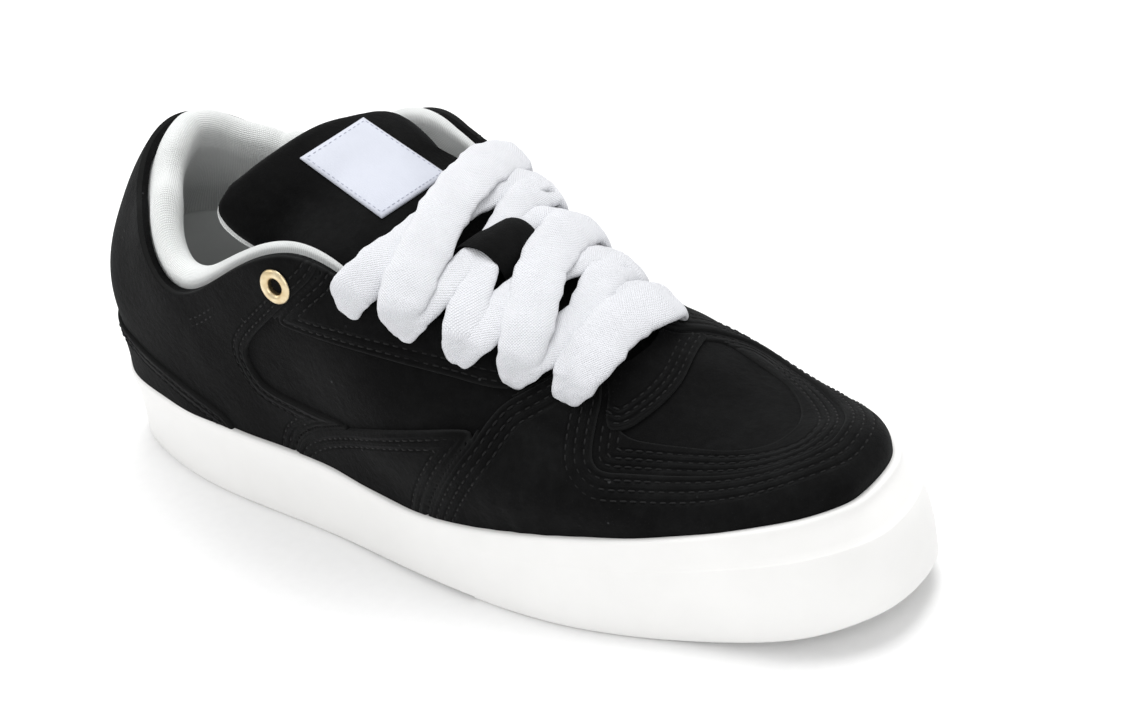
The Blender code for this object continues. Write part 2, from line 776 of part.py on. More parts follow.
def upper_grid():
    """Stations and rows of points of the upper's outer surface, from the sole line up."""
    u = columns(SHOE_COLUMNS)
    rims = rim_angle(u)
    rows = [section(u, 0.0)]
    for share in np.linspace(0, 1, UPPER_ROWS)[1:]:
        rows.append(section(u, girth_rows(u, rims, share)))
    return u, rows


def merge_tip(work):
    """Join the crowded points where the columns meet over the toe."""
    tip = Vector(section(np.array([float(LAST)]), np.array([math.pi / 2]))[0])
    crowded = [vertex for vertex in work.verts if (vertex.co - tip).length < TIP_ROUND]
    bmesh.ops.remove_doubles(work, verts=crowded, dist=TIP_ROUND / 2)


def shell(name, lift, thickness, look, target):
    """A closed layer of suede over the whole upper, parallel to its faces."""
    u, rows = upper_grid()
    for end, beside, wanted in ((0, 1, np.ones(len(u))), (-1, -2, throat_half_gap(u) > 0)):
        step = rows[beside] - rows[end]
        size = np.linalg.norm(step, axis=1, keepdims=True)
        rows[end] = rows[end] + step * PANEL_MARGIN / size * wanted[:, None]
    made = mesh_object(name, np.concatenate(rows), ring_faces(len(rows), len(u)), look, target)
    work = bmesh.new()
    work.from_mesh(made.data)
    merge_tip(work)
    work.normal_update()
    ways = [vertex.normal.copy() for vertex in work.verts]
    for vertex, way in zip(work.verts, ways):
        vertex.co += way * lift
    work.to_mesh(made.data)
    work.free()
    layer = made.modifiers.new("layer", "SOLIDIFY")
    layer.thickness = thickness
    layer.offset = 1
    layer.use_even_offset = False
    return made


def grown(outline, by):
    """The same outline moved outward by a distance."""
    points = np.asarray(outline, float)
    sides = np.roll(points, -1, 0) - points
    sides /= np.linalg.norm(sides, axis=1, keepdims=True)
    out = np.stack([sides[:, 1], -sides[:, 0]], -1)
    area = float(np.sum(points[:, 0] * np.roll(points[:, 1], -1) - points[:, 1] * np.roll(points[:, 0], -1)))
    both = (out + np.roll(out, 1, 0)) * (1 if area > 0 else -1)
    both /= np.maximum((both**2).sum(1, keepdims=True) / 2, 0.5)
    return points + both * by


def side_prism(name, table, cutters, side=0):
    """Cutter with an outline seen from the side, for both sides of the shoe or only one."""
    outline = [(x * SHOE_LENGTH - SHOE_LENGTH / 2, z * COLLAR_HEIGHT) for x, z in table]
    stand = Matrix.Rotation(math.radians(90), 4, "X")
    if side:
        stand = Matrix.Translation((0, side * BALL_WIDTH * 0.52, 0)) @ stand
        return prism(name, outline, BALL_WIDTH * 0.5, stand, cutters)
    return prism(name, outline, BALL_WIDTH, stand, cutters)


def plan_prism(name, table, cutters, by=0.0):
    """Cutter with an outline seen from above."""
    outline = [(x * SHOE_LENGTH - SHOE_LENGTH / 2, y * BALL_WIDTH / 2) for x, y in table]
    if by:
        outline = grown(outline, by)
    return prism(name, outline, INSTEP_HEIGHT * 1.5, Matrix.Identity(4), cutters)


def slab(name, layers, wide, high, look, target):
    """A closed sheet from two layers of the same grid."""
    size = wide * high
    faces = []
    for i in range(high - 1):
        for j in range(wide - 1):
            a, b = i * wide + j, i * wide + j + 1
            c, d = b + wide, a + wide
            faces.append((a, d, c, b))
            faces.append((a + size, b + size, c + size, d + size))
    rim = list(range(wide)) + [i * wide + wide - 1 for i in range(1, high)]
    rim += list(range(size - 2, size - wide - 1, -1)) + [i * wide for i in range(high - 2, 0, -1)]
    for a, b in zip(rim, rim[1:] + rim[:1]):
        faces.append((a, b, b + size, a + size))
    made = mesh_object(name, np.concatenate(layers), faces, look, target)
    facing_out(made.data)
    return made


def facing_out(mesh):
    work = bmesh.new()
    work.from_mesh(mesh)
    bmesh.ops.recalc_face_normals(work, faces=work.faces)
    work.to_mesh(mesh)
    work.free()


def make_panels(target, cutters, look):
    """Raised pieces, each cut from a layer over the upper."""
    made = []

    def piece(name, kept, removed=(), lift=PANEL_LIFT, thickness=PANEL_THICKNESS):
        layer = shell(name, lift, thickness, look, target)
        boolean(layer, kept, "INTERSECT")
        for cutter in removed:
            boolean(layer, cutter)
        made.append(layer)

    cap = plan_prism("toe_cap_edge", TOE_CAP_PLAN, cutters)
    piece("toe_cap", side_prism("toe_cap_side", TOE_CAP_SIDE, cutters), (cap,))
    band = plan_prism("toe_band_edge", TOE_CAP_PLAN, cutters, -SEAM_GAP)
    vamp = plan_prism("vamp", VAMP_PLAN, cutters)
    strip = plan_prism("strip_room", STRIP_PLAN, cutters, SEAM_GAP)
    piece("toe_band", band, (vamp, strip), thickness=BAND_THICKNESS)
    piece("throat_strip", plan_prism("throat_strip_edge", STRIP_PLAN, cutters), thickness=BAND_THICKNESS)
    for side, way in (("outer", -1), ("inner", 1)):
        piece(f"eyestay_{side}", side_prism(f"eyestay_{side}_side", EYESTAY_SIDE, cutters, way))
        piece(f"arch_panel_{side}", side_prism(f"arch_{side}_side", ARCH_SIDE, cutters, way))
    piece("quarter", side_prism("quarter_side", QUARTER_SIDE, cutters))
    over = PANEL_LIFT * 2 + PANEL_THICKNESS
    piece("heel_counter", side_prism("counter_side", COUNTER_SIDE, cutters), lift=over)
    return made


def run_down(u, steps=61):
    """Angles from the crest to the sole line and the length of surface passed, for one column."""
    angles = np.linspace(math.pi / 2, 0, steps)
    points = section(np.full(steps, u), angles)
    run = np.concatenate([[0], np.cumsum(np.linalg.norm(np.diff(points, axis=0), axis=1))])
    return angles, run


def over_crest(u, across, lift=0.0):
    """Point a distance to either side of the crest, along the surface. Below 0 is the outer side."""
    angles, run = run_down(u)
    angle = np.interp(abs(across), run, angles)
    side = u if across <= 0 else LOOP - u
    return section(np.array([side]), np.array([angle]), np.array([lift]))[0]


def make_collar(target, look):
    """A padded roll along the inside of the topline, from one flap round the heel to the other."""
    rings = []
    side = columns(SHOE_COLUMNS)
    side = [0.0, *(u for u in side if 0 < u < COLLAR_END - 0.1), COLLAR_END]
    places = [-u for u in side[:0:-1]] + side
    for u in places:
        rim = float(rim_angle(u))
        angles = np.linspace(0, rim, 33)
        wall = section(np.full(33, u), angles)
        run = np.concatenate([[0], np.cumsum(np.linalg.norm(np.diff(wall, axis=0), axis=1))])
        top = wall[-1]
        up = wall[-1] - wall[-3]
        up /= np.linalg.norm(up)
        out = normal(np.array([u]), np.array([rim]))[0]
        shares = np.interp(abs(u), *zip(*COLLAR_PAD_AT))
        pad, rise = COLLAR_PAD * shares, COLLAR_RISE * np.interp(abs(u), *zip(*COLLAR_RISE_AT))
        skin = UPPER_WALL + 2.5 * CLEARANCE
        for along, depth in COLLAR_PROFILE:
            offset = -(skin + depth * pad)
            if along > 0:
                rings.append(top + up * rise * along + out * offset)
                continue
            angle = np.interp((1 + along * COLLAR_DEPTH) * run[-1], run, angles)
            rings.append(section(np.array([u]), np.array([angle]), np.array([offset]))[0])
    return lofted("collar_lining", rings, len(COLLAR_PROFILE), look, target)


def halves(face, forward):
    """Two triangles of a four-sided face. Both sides of a thin layer get the same diagonal."""
    a, b, c, d = face
    return ((a, b, c), (a, c, d)) if forward else ((a, b, d), (b, c, d))


def lofted(name, points, count, look, target, thin=False):
    """Rings of points joined in order and closed at both ends. A thin ring is a row of points
    and the same row under it, and its ends are closed by four-sided faces."""
    rows = len(points) // count
    faces = ring_faces(rows, count)
    if thin:
        faces = [half for face in faces for half in halves(face, face[0] % count < count // 2)]
    for start in (0, (rows - 1) * count):
        if thin:
            pairs = range(count // 2 - 1)
            faces += [(start + j, start + j + 1, start + count - j - 2, start + count - j - 1) for j in pairs]
        else:
            faces.append(tuple(range(start, start + count)))
    made = mesh_object(name, points, faces, look, target)
    facing_out(made.data)
    return made


def wall_place(u, below, offset):
    """Point of the upper a surface distance below the topline, moved off the surface."""
    rim = float(rim_angle(u))
    angles = np.linspace(0, rim, 41)
    points = section(np.full(41, u), angles)
    run = np.concatenate([[0], np.cumsum(np.linalg.norm(np.diff(points, axis=0), axis=1))])
    angle = np.interp(run[-1] - below, run, angles)
    return section(np.array([u]), np.array([angle]), np.array([offset]))[0]


def tucked_row(u, centre):
    """Five points across the tongue where its edges lie inside the flaps."""
    pad = COLLAR_PAD * np.interp(u, *zip(*COLLAR_PAD_AT)) if u < COLLAR_END + 0.25 else 0
    inside = -(UPPER_WALL + 1.3 * pad + (12 if pad else 8) * CLEARANCE)
    row = [wall_place(u, TONGUE_TUCK, inside - 0.0006), wall_place(u, 0.0012, inside)]
    row += [centre, wall_place(LOOP - u, 0.0012, inside), wall_place(LOOP - u, TONGUE_TUCK, inside - 0.0006)]
    return np.array(row)


def tongue_controls():
    """Rows of five points across the tongue, from under the vamp to the top."""
    rows = []
    for u, half in TONGUE_FRONT:
        hidden = -(UPPER_WALL + 6 * CLEARANCE)
        rows.append(np.array([over_crest(u, half * k, hidden) for k in (-1, -0.5, 0, 0.5, 1)]))
    half = SHOE_LENGTH / 2
    for u, along, height in TONGUE_TUCKED:
        ridge = float(of("axis", u)[1])
        centre = np.array([along * SHOE_LENGTH - half, ridge, height * INSTEP_HEIGHT])
        rows.append(tucked_row(u, centre))
    for row in TONGUE_FREE:
        sizes = np.array([SHOE_LENGTH, BALL_WIDTH / 2, INSTEP_HEIGHT])
        rows.append(np.array(row) * sizes - np.array([half, 0, 0]))
    return np.array(rows)


def tongue_grid():
    """Even grid over the tongue's top surface and its outward normals."""
    rows = tongue_controls()
    count = rows.shape[0]
    lengthwise = np.stack([through(rows[:, k], TONGUE_STEPS * 4) for k in range(5)], 1)
    keep = np.linspace(0, len(lengthwise) - 1, TONGUE_STEPS).astype(int)
    grid = np.array([through(lengthwise[k], TONGUE_COLUMNS) for k in keep])
    along = np.gradient(grid, axis=0)
    across = np.gradient(grid, axis=1)
    out = np.cross(across, along)
    out /= np.linalg.norm(out, axis=-1, keepdims=True)
    if out[len(out) // 2, TONGUE_COLUMNS // 2, 2] < 0:
        out = -out
    return grid, out


def tongue_layer(grid, out, high, low):
    """Rings of a layer between two depths below the tongue's top surface."""
    points = []
    for row, normals, top, under in zip(grid, out, high, low):
        points += list(row - normals * top[:, None])
        points += list((row - normals * under[:, None])[::-1])
    return points


def make_tongue(target, suede, white):
    grid, out = tongue_grid()
    rows = len(grid)
    edge_share = np.abs(np.linspace(-1, 1, TONGUE_COLUMNS))
    fade = np.interp(np.linspace(0, 1, rows), *zip(*TONGUE_PADDING))
    pad = TONGUE_THICKNESS * fade[:, None] * (1 - 0.6 * edge_share**3)[None]
    none = np.zeros((rows, TONGUE_COLUMNS))
    skin = none + TONGUE_SKIN
    ring = 2 * TONGUE_COLUMNS
    lofted("tongue", tongue_layer(grid, out, none, skin), ring, suede, target, thin=True)
    top = skin + 1.5 * CLEARANCE
    lofted("tongue_lining", tongue_layer(grid, out, top, top + pad), ring, white, target, thin=True)
    return grid, out


def on_tongue(grid, out, rows, columns_at, lift):
    """Points over the tongue at fractions of its length and width."""
    points = []
    for r in rows:
        for c in columns_at:
            i, j = r * (len(grid) - 1), (c + 1) / 2 * (TONGUE_COLUMNS - 1)
            i0, j0 = min(int(i), len(grid) - 2), min(int(j), TONGUE_COLUMNS - 2)
            a, b = i - i0, j - j0
            mix = ((1 - a) * (1 - b), (1 - a) * b, a * (1 - b), a * b)
            spots = ((i0, j0), (i0, j0 + 1), (i0 + 1, j0), (i0 + 1, j0 + 1))
            point = sum(w * grid[k] for w, k in zip(mix, spots))
            way = sum(w * out[k] for w, k in zip(mix, spots))
            points.append(point + way / np.linalg.norm(way) * lift)
    return points


def make_patch(name, grid, out, rows, columns_at, lift, thickness, look, target):
    low = on_tongue(grid, out, rows, columns_at, lift)
    high = on_tongue(grid, out, rows, columns_at, lift + thickness)
    return slab(name, [np.array(low), np.array(high)], len(columns_at), len(rows), look, target)


def eyelet_inset(u):
    insets = EYELET_INSET if u <= LAST else INNER_EYELET_INSET
    return float(np.interp(min(u, LOOP - u), EYELETS, insets))


def eyelet_point(u, lift):
    return wall_place(u, eyelet_inset(u), lift)


def lace_arch(u, lift):
    """Points across the throat at one station, from hole to hole over flaps and tongue."""
    middles = np.array([row[0] for row in TONGUE_TUCKED])
    order = np.argsort(middles)
    half = SHOE_LENGTH / 2
    along = np.interp(u, middles[order], np.array([row[1] for row in TONGUE_TUCKED])[order])
    height = np.interp(u, middles[order], np.array([row[2] for row in TONGUE_TUCKED])[order])
    centre = np.array([along * SHOE_LENGTH - half, float(of("axis", u)[1]), height * INSTEP_HEIGHT])
    other = LOOP - u
    row = [eyelet_point(u, lift), wall_place(u, 0.001, lift)]
    row += [centre + np.array([0.35, 0, 0.94]) * (lift + LACE_OVER_TONGUE)]
    row += [wall_place(other, 0.001, lift), eyelet_point(other, lift)]
    return through(row, 17)


def lace_point(u, side, lift):
    arch = lace_arch(u, lift)
    place = (side + 1) / 2 * (len(arch) - 1)
    low = min(int(place), len(arch) - 2)
    return arch[low] * (low + 1 - place) + arch[low + 1] * (place - low)


def make_laces(target, look):
    """Flat strands from hole to hole. They touch where they cross, so all of them are one piece."""
    strands = []
    for number, (near, far, lift, narrow, sag) in enumerate(LACE_RUNS):
        steps = np.linspace(0, 1, LACE_STEPS)
        path, outs = [], []
        for t in steps:
            u = EYELETS[near] + (EYELETS[far] - EYELETS[near]) * t
            bow = math.sin(math.pi * t)
            height = LACE_GROUND + LACE_THICKNESS / 2 + lift * min(1, bow * 1.6)
            base, above = lace_point(u, 2 * t - 1, height), lace_point(u, 2 * t - 1, height + 0.002)
            path.append(base + np.array([sag * bow, 0, 0]))
            outs.append((above - base) / np.linalg.norm(above - base))
        path, outs = np.array(path), np.array(outs)
        along = np.gradient(path, axis=0)
        along /= np.linalg.norm(along, axis=1, keepdims=True)
        across = np.cross(along, outs)
        across /= np.linalg.norm(across, axis=1, keepdims=True)
        up = np.cross(across, along)
        up *= np.sign((up * outs).sum(1, keepdims=True))
        rings = []
        for k, t in enumerate(steps):
            end = min(t, 1 - t) / 0.12
            size = math.sqrt(max(0.0, 1 - (1 - min(1, end)) ** 2))
            wide = LACE_WIDTH / 2 * (0.42 + 0.58 * size) * (1 - narrow * math.sin(math.pi * t) ** 2)
            tall = LACE_THICKNESS / 2 * (0.60 + 0.40 * size)
            for j in range(LACE_SIDES):
                angle = 2 * math.pi * (j + 0.5) / LACE_SIDES
                c, s = math.cos(angle), math.sin(angle)
                flat = np.sign(c) * abs(c) ** 0.6
                rings.append(path[k] + across[k] * wide * flat + up[k] * tall * np.sign(s) * abs(s) ** 0.8)
        strands.append(lofted(f"lace_{number}", rings, LACE_SIDES, look, target))
    first = strands[0]
    first.name = "laces"
    for other in strands[1:]:
        boolean(first, other, "UNION")
    return first, strands[1:]


def punched(things, cutters):
    """Lace holes through the upper and the eyestays."""
    points, faces = [], []
    for row in EYELETS:
        for u in (row, LOOP - row):
            low, high = eyelet_point(u, -0.004), eyelet_point(u, 0.004)
            add_tube(points, faces, low, high, LACE_HOLE / 2)
    for side in (False, True):
        low, high = ring_eyelet_place(side)
        add_tube(points, faces, low - (high - low), high + (high - low), RING_HOLE)
    mesh = bpy.data.meshes.new("lace_holes")
    mesh.from_pydata([tuple(p) for p in points], [], faces)
    facing_out(mesh)
    cutter = bpy.data.objects.new("lace_holes", mesh)
    cutters.objects.link(cutter)
    hide_cutter(cutter, cutters)
    for thing in things:
        boolean(thing, cutter)


def add_tube(points, faces, low, high, radius, sides=12):
    axis = (high - low) / np.linalg.norm(high - low)
    first = np.cross(axis, [1, 0, 0])
    first /= np.linalg.norm(first)
    second = np.cross(axis, first)
    base = len(points)
    for end in (low, high):
        for k in range(sides):
            turn = 2 * math.pi * k / sides
            points.append(end + radius * (math.cos(turn) * first + math.sin(turn) * second))
    for k in range(sides):
        m = (k + 1) % sides
        faces.append((base + k, base + m, base + sides + m, base + sides + k))
    faces.append(tuple(base + k for k in range(sides))[::-1])
    faces.append(tuple(base + sides + k for k in range(sides)))


def ring_eyelet_place(inner_side):
    """Foot and top of the metal eyelet's axis, out of the quarter's surface."""
    u = LOOP - RING_STATION if inner_side else RING_STATION
    base = PANEL_LIFT + PANEL_THICKNESS + CLEARANCE
    foot = wall_place(u, RING_BELOW_TOP, base)
    tip = wall_place(u, RING_BELOW_TOP, base + 0.003)
    return foot, tip


def make_eyelets(target, look):
    """Domed metal rings with a hollow neck that goes through the quarter."""
    profile = (
        # radius as a share of RING_RADIUS, height as a share of RING_THICKNESS
        (0.46, -2.60),
        (0.58, -2.60),
        (0.58, -0.20),
        (0.98, 0.10),
        (1.00, 0.35),
        (0.86, 0.90),
        (0.66, 1.00),
        (0.50, 0.70),
        (0.46, 0.20),
    )
    for name, side in (("eyelet_outer", False), ("eyelet_inner", True)):
        foot, tip = ring_eyelet_place(side)
        axis = (tip - foot) / np.linalg.norm(tip - foot)
        first = np.cross(axis, [1, 0, 0])
        first /= np.linalg.norm(first)
        second = np.cross(axis, first)
        points = []
        turns = 28
        for k in range(turns):
            angle = 2 * math.pi * k / turns
            spoke = math.cos(angle) * first + math.sin(angle) * second
            points += [foot + axis * RING_THICKNESS * h + spoke * RING_RADIUS * r for r, h in profile]
        count = len(profile)
        faces = []
        for k in range(turns):
            m = (k + 1) % turns
            for i in range(count):
                j = (i + 1) % count
                faces.append((k * count + i, k * count + j, m * count + j, m * count + i))
        facing_out(mesh_object(name, points, faces, look, target).data)


def main():
    clear_scene()
    shoe = collection("skate_shoe")
    cutters = collection("cutters")
    suede = material("black_suede", BLACK_SUEDE)
    rubber = material("white_rubber", WHITE_RUBBER)
    footbed = material("grey_fabric", GREY_FABRIC)
    make_sole(shoe, cutters, rubber)
    make_insole(shoe, footbed)
    upper = make_upper(shoe, suede)
    panels = make_panels(shoe, cutters, suede)
    make_collar(shoe, material("white_fabric", WHITE_FABRIC))
    grid, out = make_tongue(shoe, suede, bpy.data.materials["white_fabric"])
    label = material("label_white", LABEL_WHITE)
    on_top = 2 * CLEARANCE
    make_patch("tongue_label", grid, out, LABEL_ROWS, LABEL_COLUMNS, on_top, LABEL_THICKNESS, label, shoe)
    make_patch("lace_keeper", grid, out, KEEPER_ROWS, KEEPER_COLUMNS, on_top, KEEPER_THICKNESS, suede, shoe)
    laces, strands = make_laces(shoe, material("lace_white", LACE_WHITE))
    apply_modifiers(laces)
    for strand in strands:
        bpy.data.objects.remove(strand, do_unlink=True)
    apply_modifiers(upper)
    punched([upper, *panels], cutters)
    make_eyelets(shoe, material("brass", BRASS))


main()
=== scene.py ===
# Low skateboarding shoe: fine suede, rubber, cloth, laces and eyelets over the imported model.
import math

import bmesh
import bpy
import numpy as np
from mathutils import Matrix, Vector, kdtree


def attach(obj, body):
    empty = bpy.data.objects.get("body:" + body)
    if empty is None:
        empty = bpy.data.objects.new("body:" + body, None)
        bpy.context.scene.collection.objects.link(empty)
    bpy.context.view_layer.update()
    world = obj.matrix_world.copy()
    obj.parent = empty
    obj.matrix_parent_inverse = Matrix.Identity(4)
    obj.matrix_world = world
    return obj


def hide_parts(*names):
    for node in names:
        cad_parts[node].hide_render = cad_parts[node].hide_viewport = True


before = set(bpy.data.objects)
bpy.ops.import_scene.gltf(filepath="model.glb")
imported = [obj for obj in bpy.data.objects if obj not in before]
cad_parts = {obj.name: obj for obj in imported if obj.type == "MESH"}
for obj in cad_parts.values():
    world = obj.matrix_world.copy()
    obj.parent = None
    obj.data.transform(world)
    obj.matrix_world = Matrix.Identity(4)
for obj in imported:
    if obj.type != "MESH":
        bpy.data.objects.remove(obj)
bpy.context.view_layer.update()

for thing in bpy.context.selected_objects:
    thing.select_set(False)

# The shape of the last, the same numbers as in the model's source. Metres.
shoe = {
    "length": 0.300, "ballWidth": 0.110, "soleHeight": 0.034, "instep": 0.098, "collar": 0.092,
    "lip": 0.006, "belly": 0.003, "gap": 0.0003, "wall": 0.002,
    "throatFront": 0.6858, "throatBack": 0.42, "throatHalf": 0.0177, "throatSpread": 0.0201,
    "throatRound": 0.010,
}
lastColumns = "along outer inner lip line floor crest axis ridge power belly top innerTop".split()
lastSections = (
    (0.000, 0.000, 0.000, 0.557, 0.949, 0.550, 1.204, 0.191, 0.008, 2.611, 1.071, 1.161, 1.161),
    (0.028, 0.473, 0.420, 0.296, 0.830, 0.550, 1.161, 0.191, 0.013, 2.649, 1.079, 1.123, 1.136),
    (0.085, 0.692, 0.647, 0.325, 0.791, 0.540, 1.189, 0.184, 0.013, 2.669, 0.826, 1.066, 1.105),
    (0.170, 0.815, 0.740, 0.506, 0.795, 0.530, 1.582, 0.200, 0.001, 2.803, 0.952, 0.821, 0.850),
    (0.270, 0.854, 0.755, 0.567, 0.801, 0.510, 1.986, 0.266, -0.024, 3.199, 1.350, 0.958, 1.063),
    (0.380, 0.876, 0.757, 0.588, 0.790, 0.480, 1.608, 0.369, -0.046, 3.191, 1.332, 1.129, 1.151),
    (0.490, 0.934, 0.807, 0.637, 0.717, 0.440, 1.135, 0.472, -0.057, 2.757, 1.149, 1.167, 1.161),
    (0.600, 0.958, 0.871, 0.853, 0.810, 0.400, 0.832, 0.599, 0.002, 2.485, 0.923, 1.700, 1.700),
    (0.700, 0.906, 0.954, 1.004, 0.945, 0.380, 0.668, 0.701, 0.056, 2.318, 0.565, 1.800, 1.800),
    (0.790, 0.769, 0.911, 1.191, 1.026, 0.380, 0.575, 0.784, 0.090, 2.238, 0.247, 1.800, 1.800),
    (0.870, 0.633, 0.823, 1.454, 1.158, 0.420, 0.546, 0.848, 0.111, 2.139, 0.188, 1.800, 1.800),
    (0.940, 0.476, 0.641, 1.721, 1.285, 0.500, 0.570, 0.884, 0.120, 2.106, 0.184, 1.800, 1.800),
    (0.985, 0.234, 0.385, 2.093, 1.317, 0.570, 0.574, 0.900, 0.120, 2.158, 0.241, 1.800, 1.800),
    (1.000, -0.032, 0.073, 2.356, 1.308, 0.600, 0.559, 0.905, 0.120, 2.204, 0.367, 1.800, 1.800),
)
toeStation = len(lastSections) - 1
roundStations = 2 * toeStation


# Surfaces of the last.
def loopSpline(values):
    values = np.asarray(values, float)
    count = len(values)
    matrix = np.eye(count) * 4 + np.roll(np.eye(count), 1, 0) + np.roll(np.eye(count), -1, 0)
    bend = 6 * (np.roll(values, -1, 0) - 2 * values + np.roll(values, 1, 0))
    return values, np.linalg.solve(matrix, bend)


def atStation(spline, u):
    values, bends = spline
    u = np.asarray(u, float) % roundStations
    first = np.floor(u).astype(int) % roundStations
    after = (first + 1) % roundStations
    t = u - np.floor(u)
    if values.ndim > 1:
        t = t[..., None]
    smooth = ((1 - t) ** 3 - (1 - t)) / 6 * bends[first] + (t**3 - t) / 6 * bends[after]
    return (1 - t) * values[first] + t * values[after] + smooth


def lastSplines():
    table = {name: np.array(column) for name, column in zip(lastColumns, zip(*lastSections))}
    half, shift = shoe["ballWidth"] / 2, shoe["length"] / 2
    along = table["along"] * shoe["length"] - shift
    outSide = np.stack([along, -table["outer"] * half], -1)
    inSide = np.stack([along, table["inner"] * half], -1)
    sizes = {
        "lip": table["lip"] * shoe["lip"],
        "line": table["line"] * shoe["soleHeight"],
        "floor": table["floor"] * shoe["soleHeight"],
        "crest": table["crest"] * shoe["instep"],
        "axis": np.stack([table["axis"] * shoe["length"] - shift, table["ridge"] * half], -1),
        "power": table["power"],
        "belly": table["belly"] * shoe["belly"],
    }
    made = {name: loopSpline(np.concatenate([v, v[-2:0:-1]])) for name, v in sizes.items()}
    made["top"] = loopSpline(np.concatenate([table["top"], table["innerTop"][-2:0:-1]]) * shoe["collar"])
    made["outline"] = loopSpline(np.concatenate([outSide, inSide[-2:0:-1]]))
    return made


splines = lastSplines()


def lastAt(name, u):
    return atStation(splines[name], u)


def inward(u):
    along = lastAt("outline", np.asarray(u) + 0.01) - lastAt("outline", np.asarray(u) - 0.01)
    along /= np.linalg.norm(along, axis=-1, keepdims=True)
    return np.stack([-along[..., 1], along[..., 0]], -1)


def planEdge(u, inset):
    return lastAt("outline", u) + inward(u) * np.asarray(inset)[..., None]


# Outer surface of the upper. The angle is 0 at the sole line and a quarter turn at the crest.
def section(u, angle, outward=0.0):
    u, angle = np.broadcast_arrays(np.asarray(u, float), np.asarray(angle, float))
    base = planEdge(u, lastAt("lip", u) + shoe["gap"])
    axis, line, crest, power = (lastAt(name, u) for name in ("axis", "line", "crest", "power"))
    bent = np.clip(angle, 0, math.pi / 2)
    rise = np.sin(bent) ** (2 / power)
    reach = 1 - np.abs(np.cos(bent)) ** (2 / power)
    swell = lastAt("belly", u) * np.sin(math.pi * np.clip(rise * 1.25, 0, 1)) ** 2
    plan = base + (axis - base) * reach[..., None] - inward(u) * swell[..., None]
    cup = lastAt("floor", u) + shoe["gap"]
    height = np.where(angle < 0, line + angle * (line - cup), line + (crest - line) * rise)
    points = np.concatenate([plan, height[..., None]], -1)
    if np.any(outward):
        points = points + outNormal(u, angle) * np.asarray(outward)[..., None]
    return points


def outNormal(u, angle):
    safe = np.clip(angle, 0.06, math.pi / 2 - 0.05)
    along = section(u + 0.02, safe) - section(u - 0.02, safe)
    up = section(u, safe + 0.02) - section(u, safe - 0.02)
    out = np.cross(along, up)
    return out / np.linalg.norm(out, axis=-1, keepdims=True)


def throatHalfGap(u):
    along = (lastAt("axis", u)[..., 0] + shoe["length"] / 2) / shoe["length"]
    back = np.clip((shoe["throatFront"] - along) / (shoe["throatFront"] - shoe["throatBack"]), 0, 1)
    into = np.clip((shoe["throatFront"] - along) * shoe["length"] / shoe["throatRound"], 0, 1)
    return (shoe["throatHalf"] + shoe["throatSpread"] * back) * np.sqrt(1 - (1 - into) ** 2)


def rimAngle(u):
    u = np.asarray(u, float)
    reach = np.linalg.norm(lastAt("axis", u) - planEdge(u, lastAt("lip", u)), axis=-1)
    share = np.clip(throatHalfGap(u) / reach, 0, 0.93)
    byGap = np.arccos(share ** (lastAt("power", u) / 2))
    line, crest, power = (lastAt(name, u) for name in ("line", "crest", "power"))
    byTop = np.arcsin(np.clip((lastAt("top", u) - line) / (crest - line), 0, 1) ** (power / 2))
    low = -0.05 * np.log(np.exp(-byGap / 0.05) + np.exp(-byTop / 0.05))
    return np.where(throatHalfGap(u) <= 0, math.pi / 2, np.minimum(low, np.minimum(byGap, byTop)))


def runOf(points):
    return np.concatenate([[0], np.cumsum(np.linalg.norm(np.diff(points, axis=0), axis=1))])


# Point of the upper a distance below the topline, moved off the surface.
def wallPlace(u, below, offset):
    angles = np.linspace(0, float(rimAngle(u)), 41)
    run = runOf(section(np.full(41, u), angles))
    angle = np.interp(run[-1] - below, run, angles)
    return section(np.array([u]), np.array([angle]), np.array([offset]))[0]


# Smooth curve through given points, evenly spaced.
def through(points, count, closed=False):
    points = np.asarray(points, float)
    if closed:
        padded = np.concatenate([points[-1:], points, points[:2]])
    else:
        padded = np.concatenate([[2 * points[0] - points[1]], points, [2 * points[-1] - points[-2]]])
    t = np.linspace(0, 1, 16, endpoint=False)[:, None]
    fine = []
    for i in range(1, len(padded) - 2):
        a, b, c, d = padded[i - 1 : i + 3]
        fine.append(0.5 * (2 * b + (c - a) * t + (2 * a - 5 * b + 4 * c - d) * t**2
                           + (3 * b - a - 3 * c + d) * t**3))
    fine = np.concatenate([*fine, padded[-2:-1]])
    run = runOf(fine)
    places = np.linspace(0, run[-1], count, endpoint=not closed)
    return np.stack([np.interp(places, run, fine[:, k]) for k in range(fine.shape[1])], -1)


# Meshes.
def meshPiece(name, points, faces, looks, uvs=None, faceLooks=None, marks=None, sharp=50):
    mesh = bpy.data.meshes.new(name)
    mesh.from_pydata(np.asarray(points, float).tolist(), [], faces)
    for look in looks:
        mesh.materials.append(look)
    if faceLooks is not None:
        mesh.polygons.foreach_set("material_index", faceLooks)
    if uvs is not None:
        corners = np.empty(len(mesh.loops), dtype=np.int32)
        mesh.loops.foreach_get("vertex_index", corners)
        layer = mesh.uv_layers.new(name="UVMap")
        layer.data.foreach_set("uv", np.asarray(uvs, float)[corners].ravel())
    for mark, values in (marks or {}).items():
        mesh.attributes.new(mark, "FLOAT", "POINT").data.foreach_set("value", np.asarray(values, float))
    mesh.shade_smooth()
    mesh.set_sharp_from_angle(angle=math.radians(sharp))
    made = bpy.data.objects.new(name, mesh)
    bpy.context.scene.collection.objects.link(made)
    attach(made, "root")
    return made


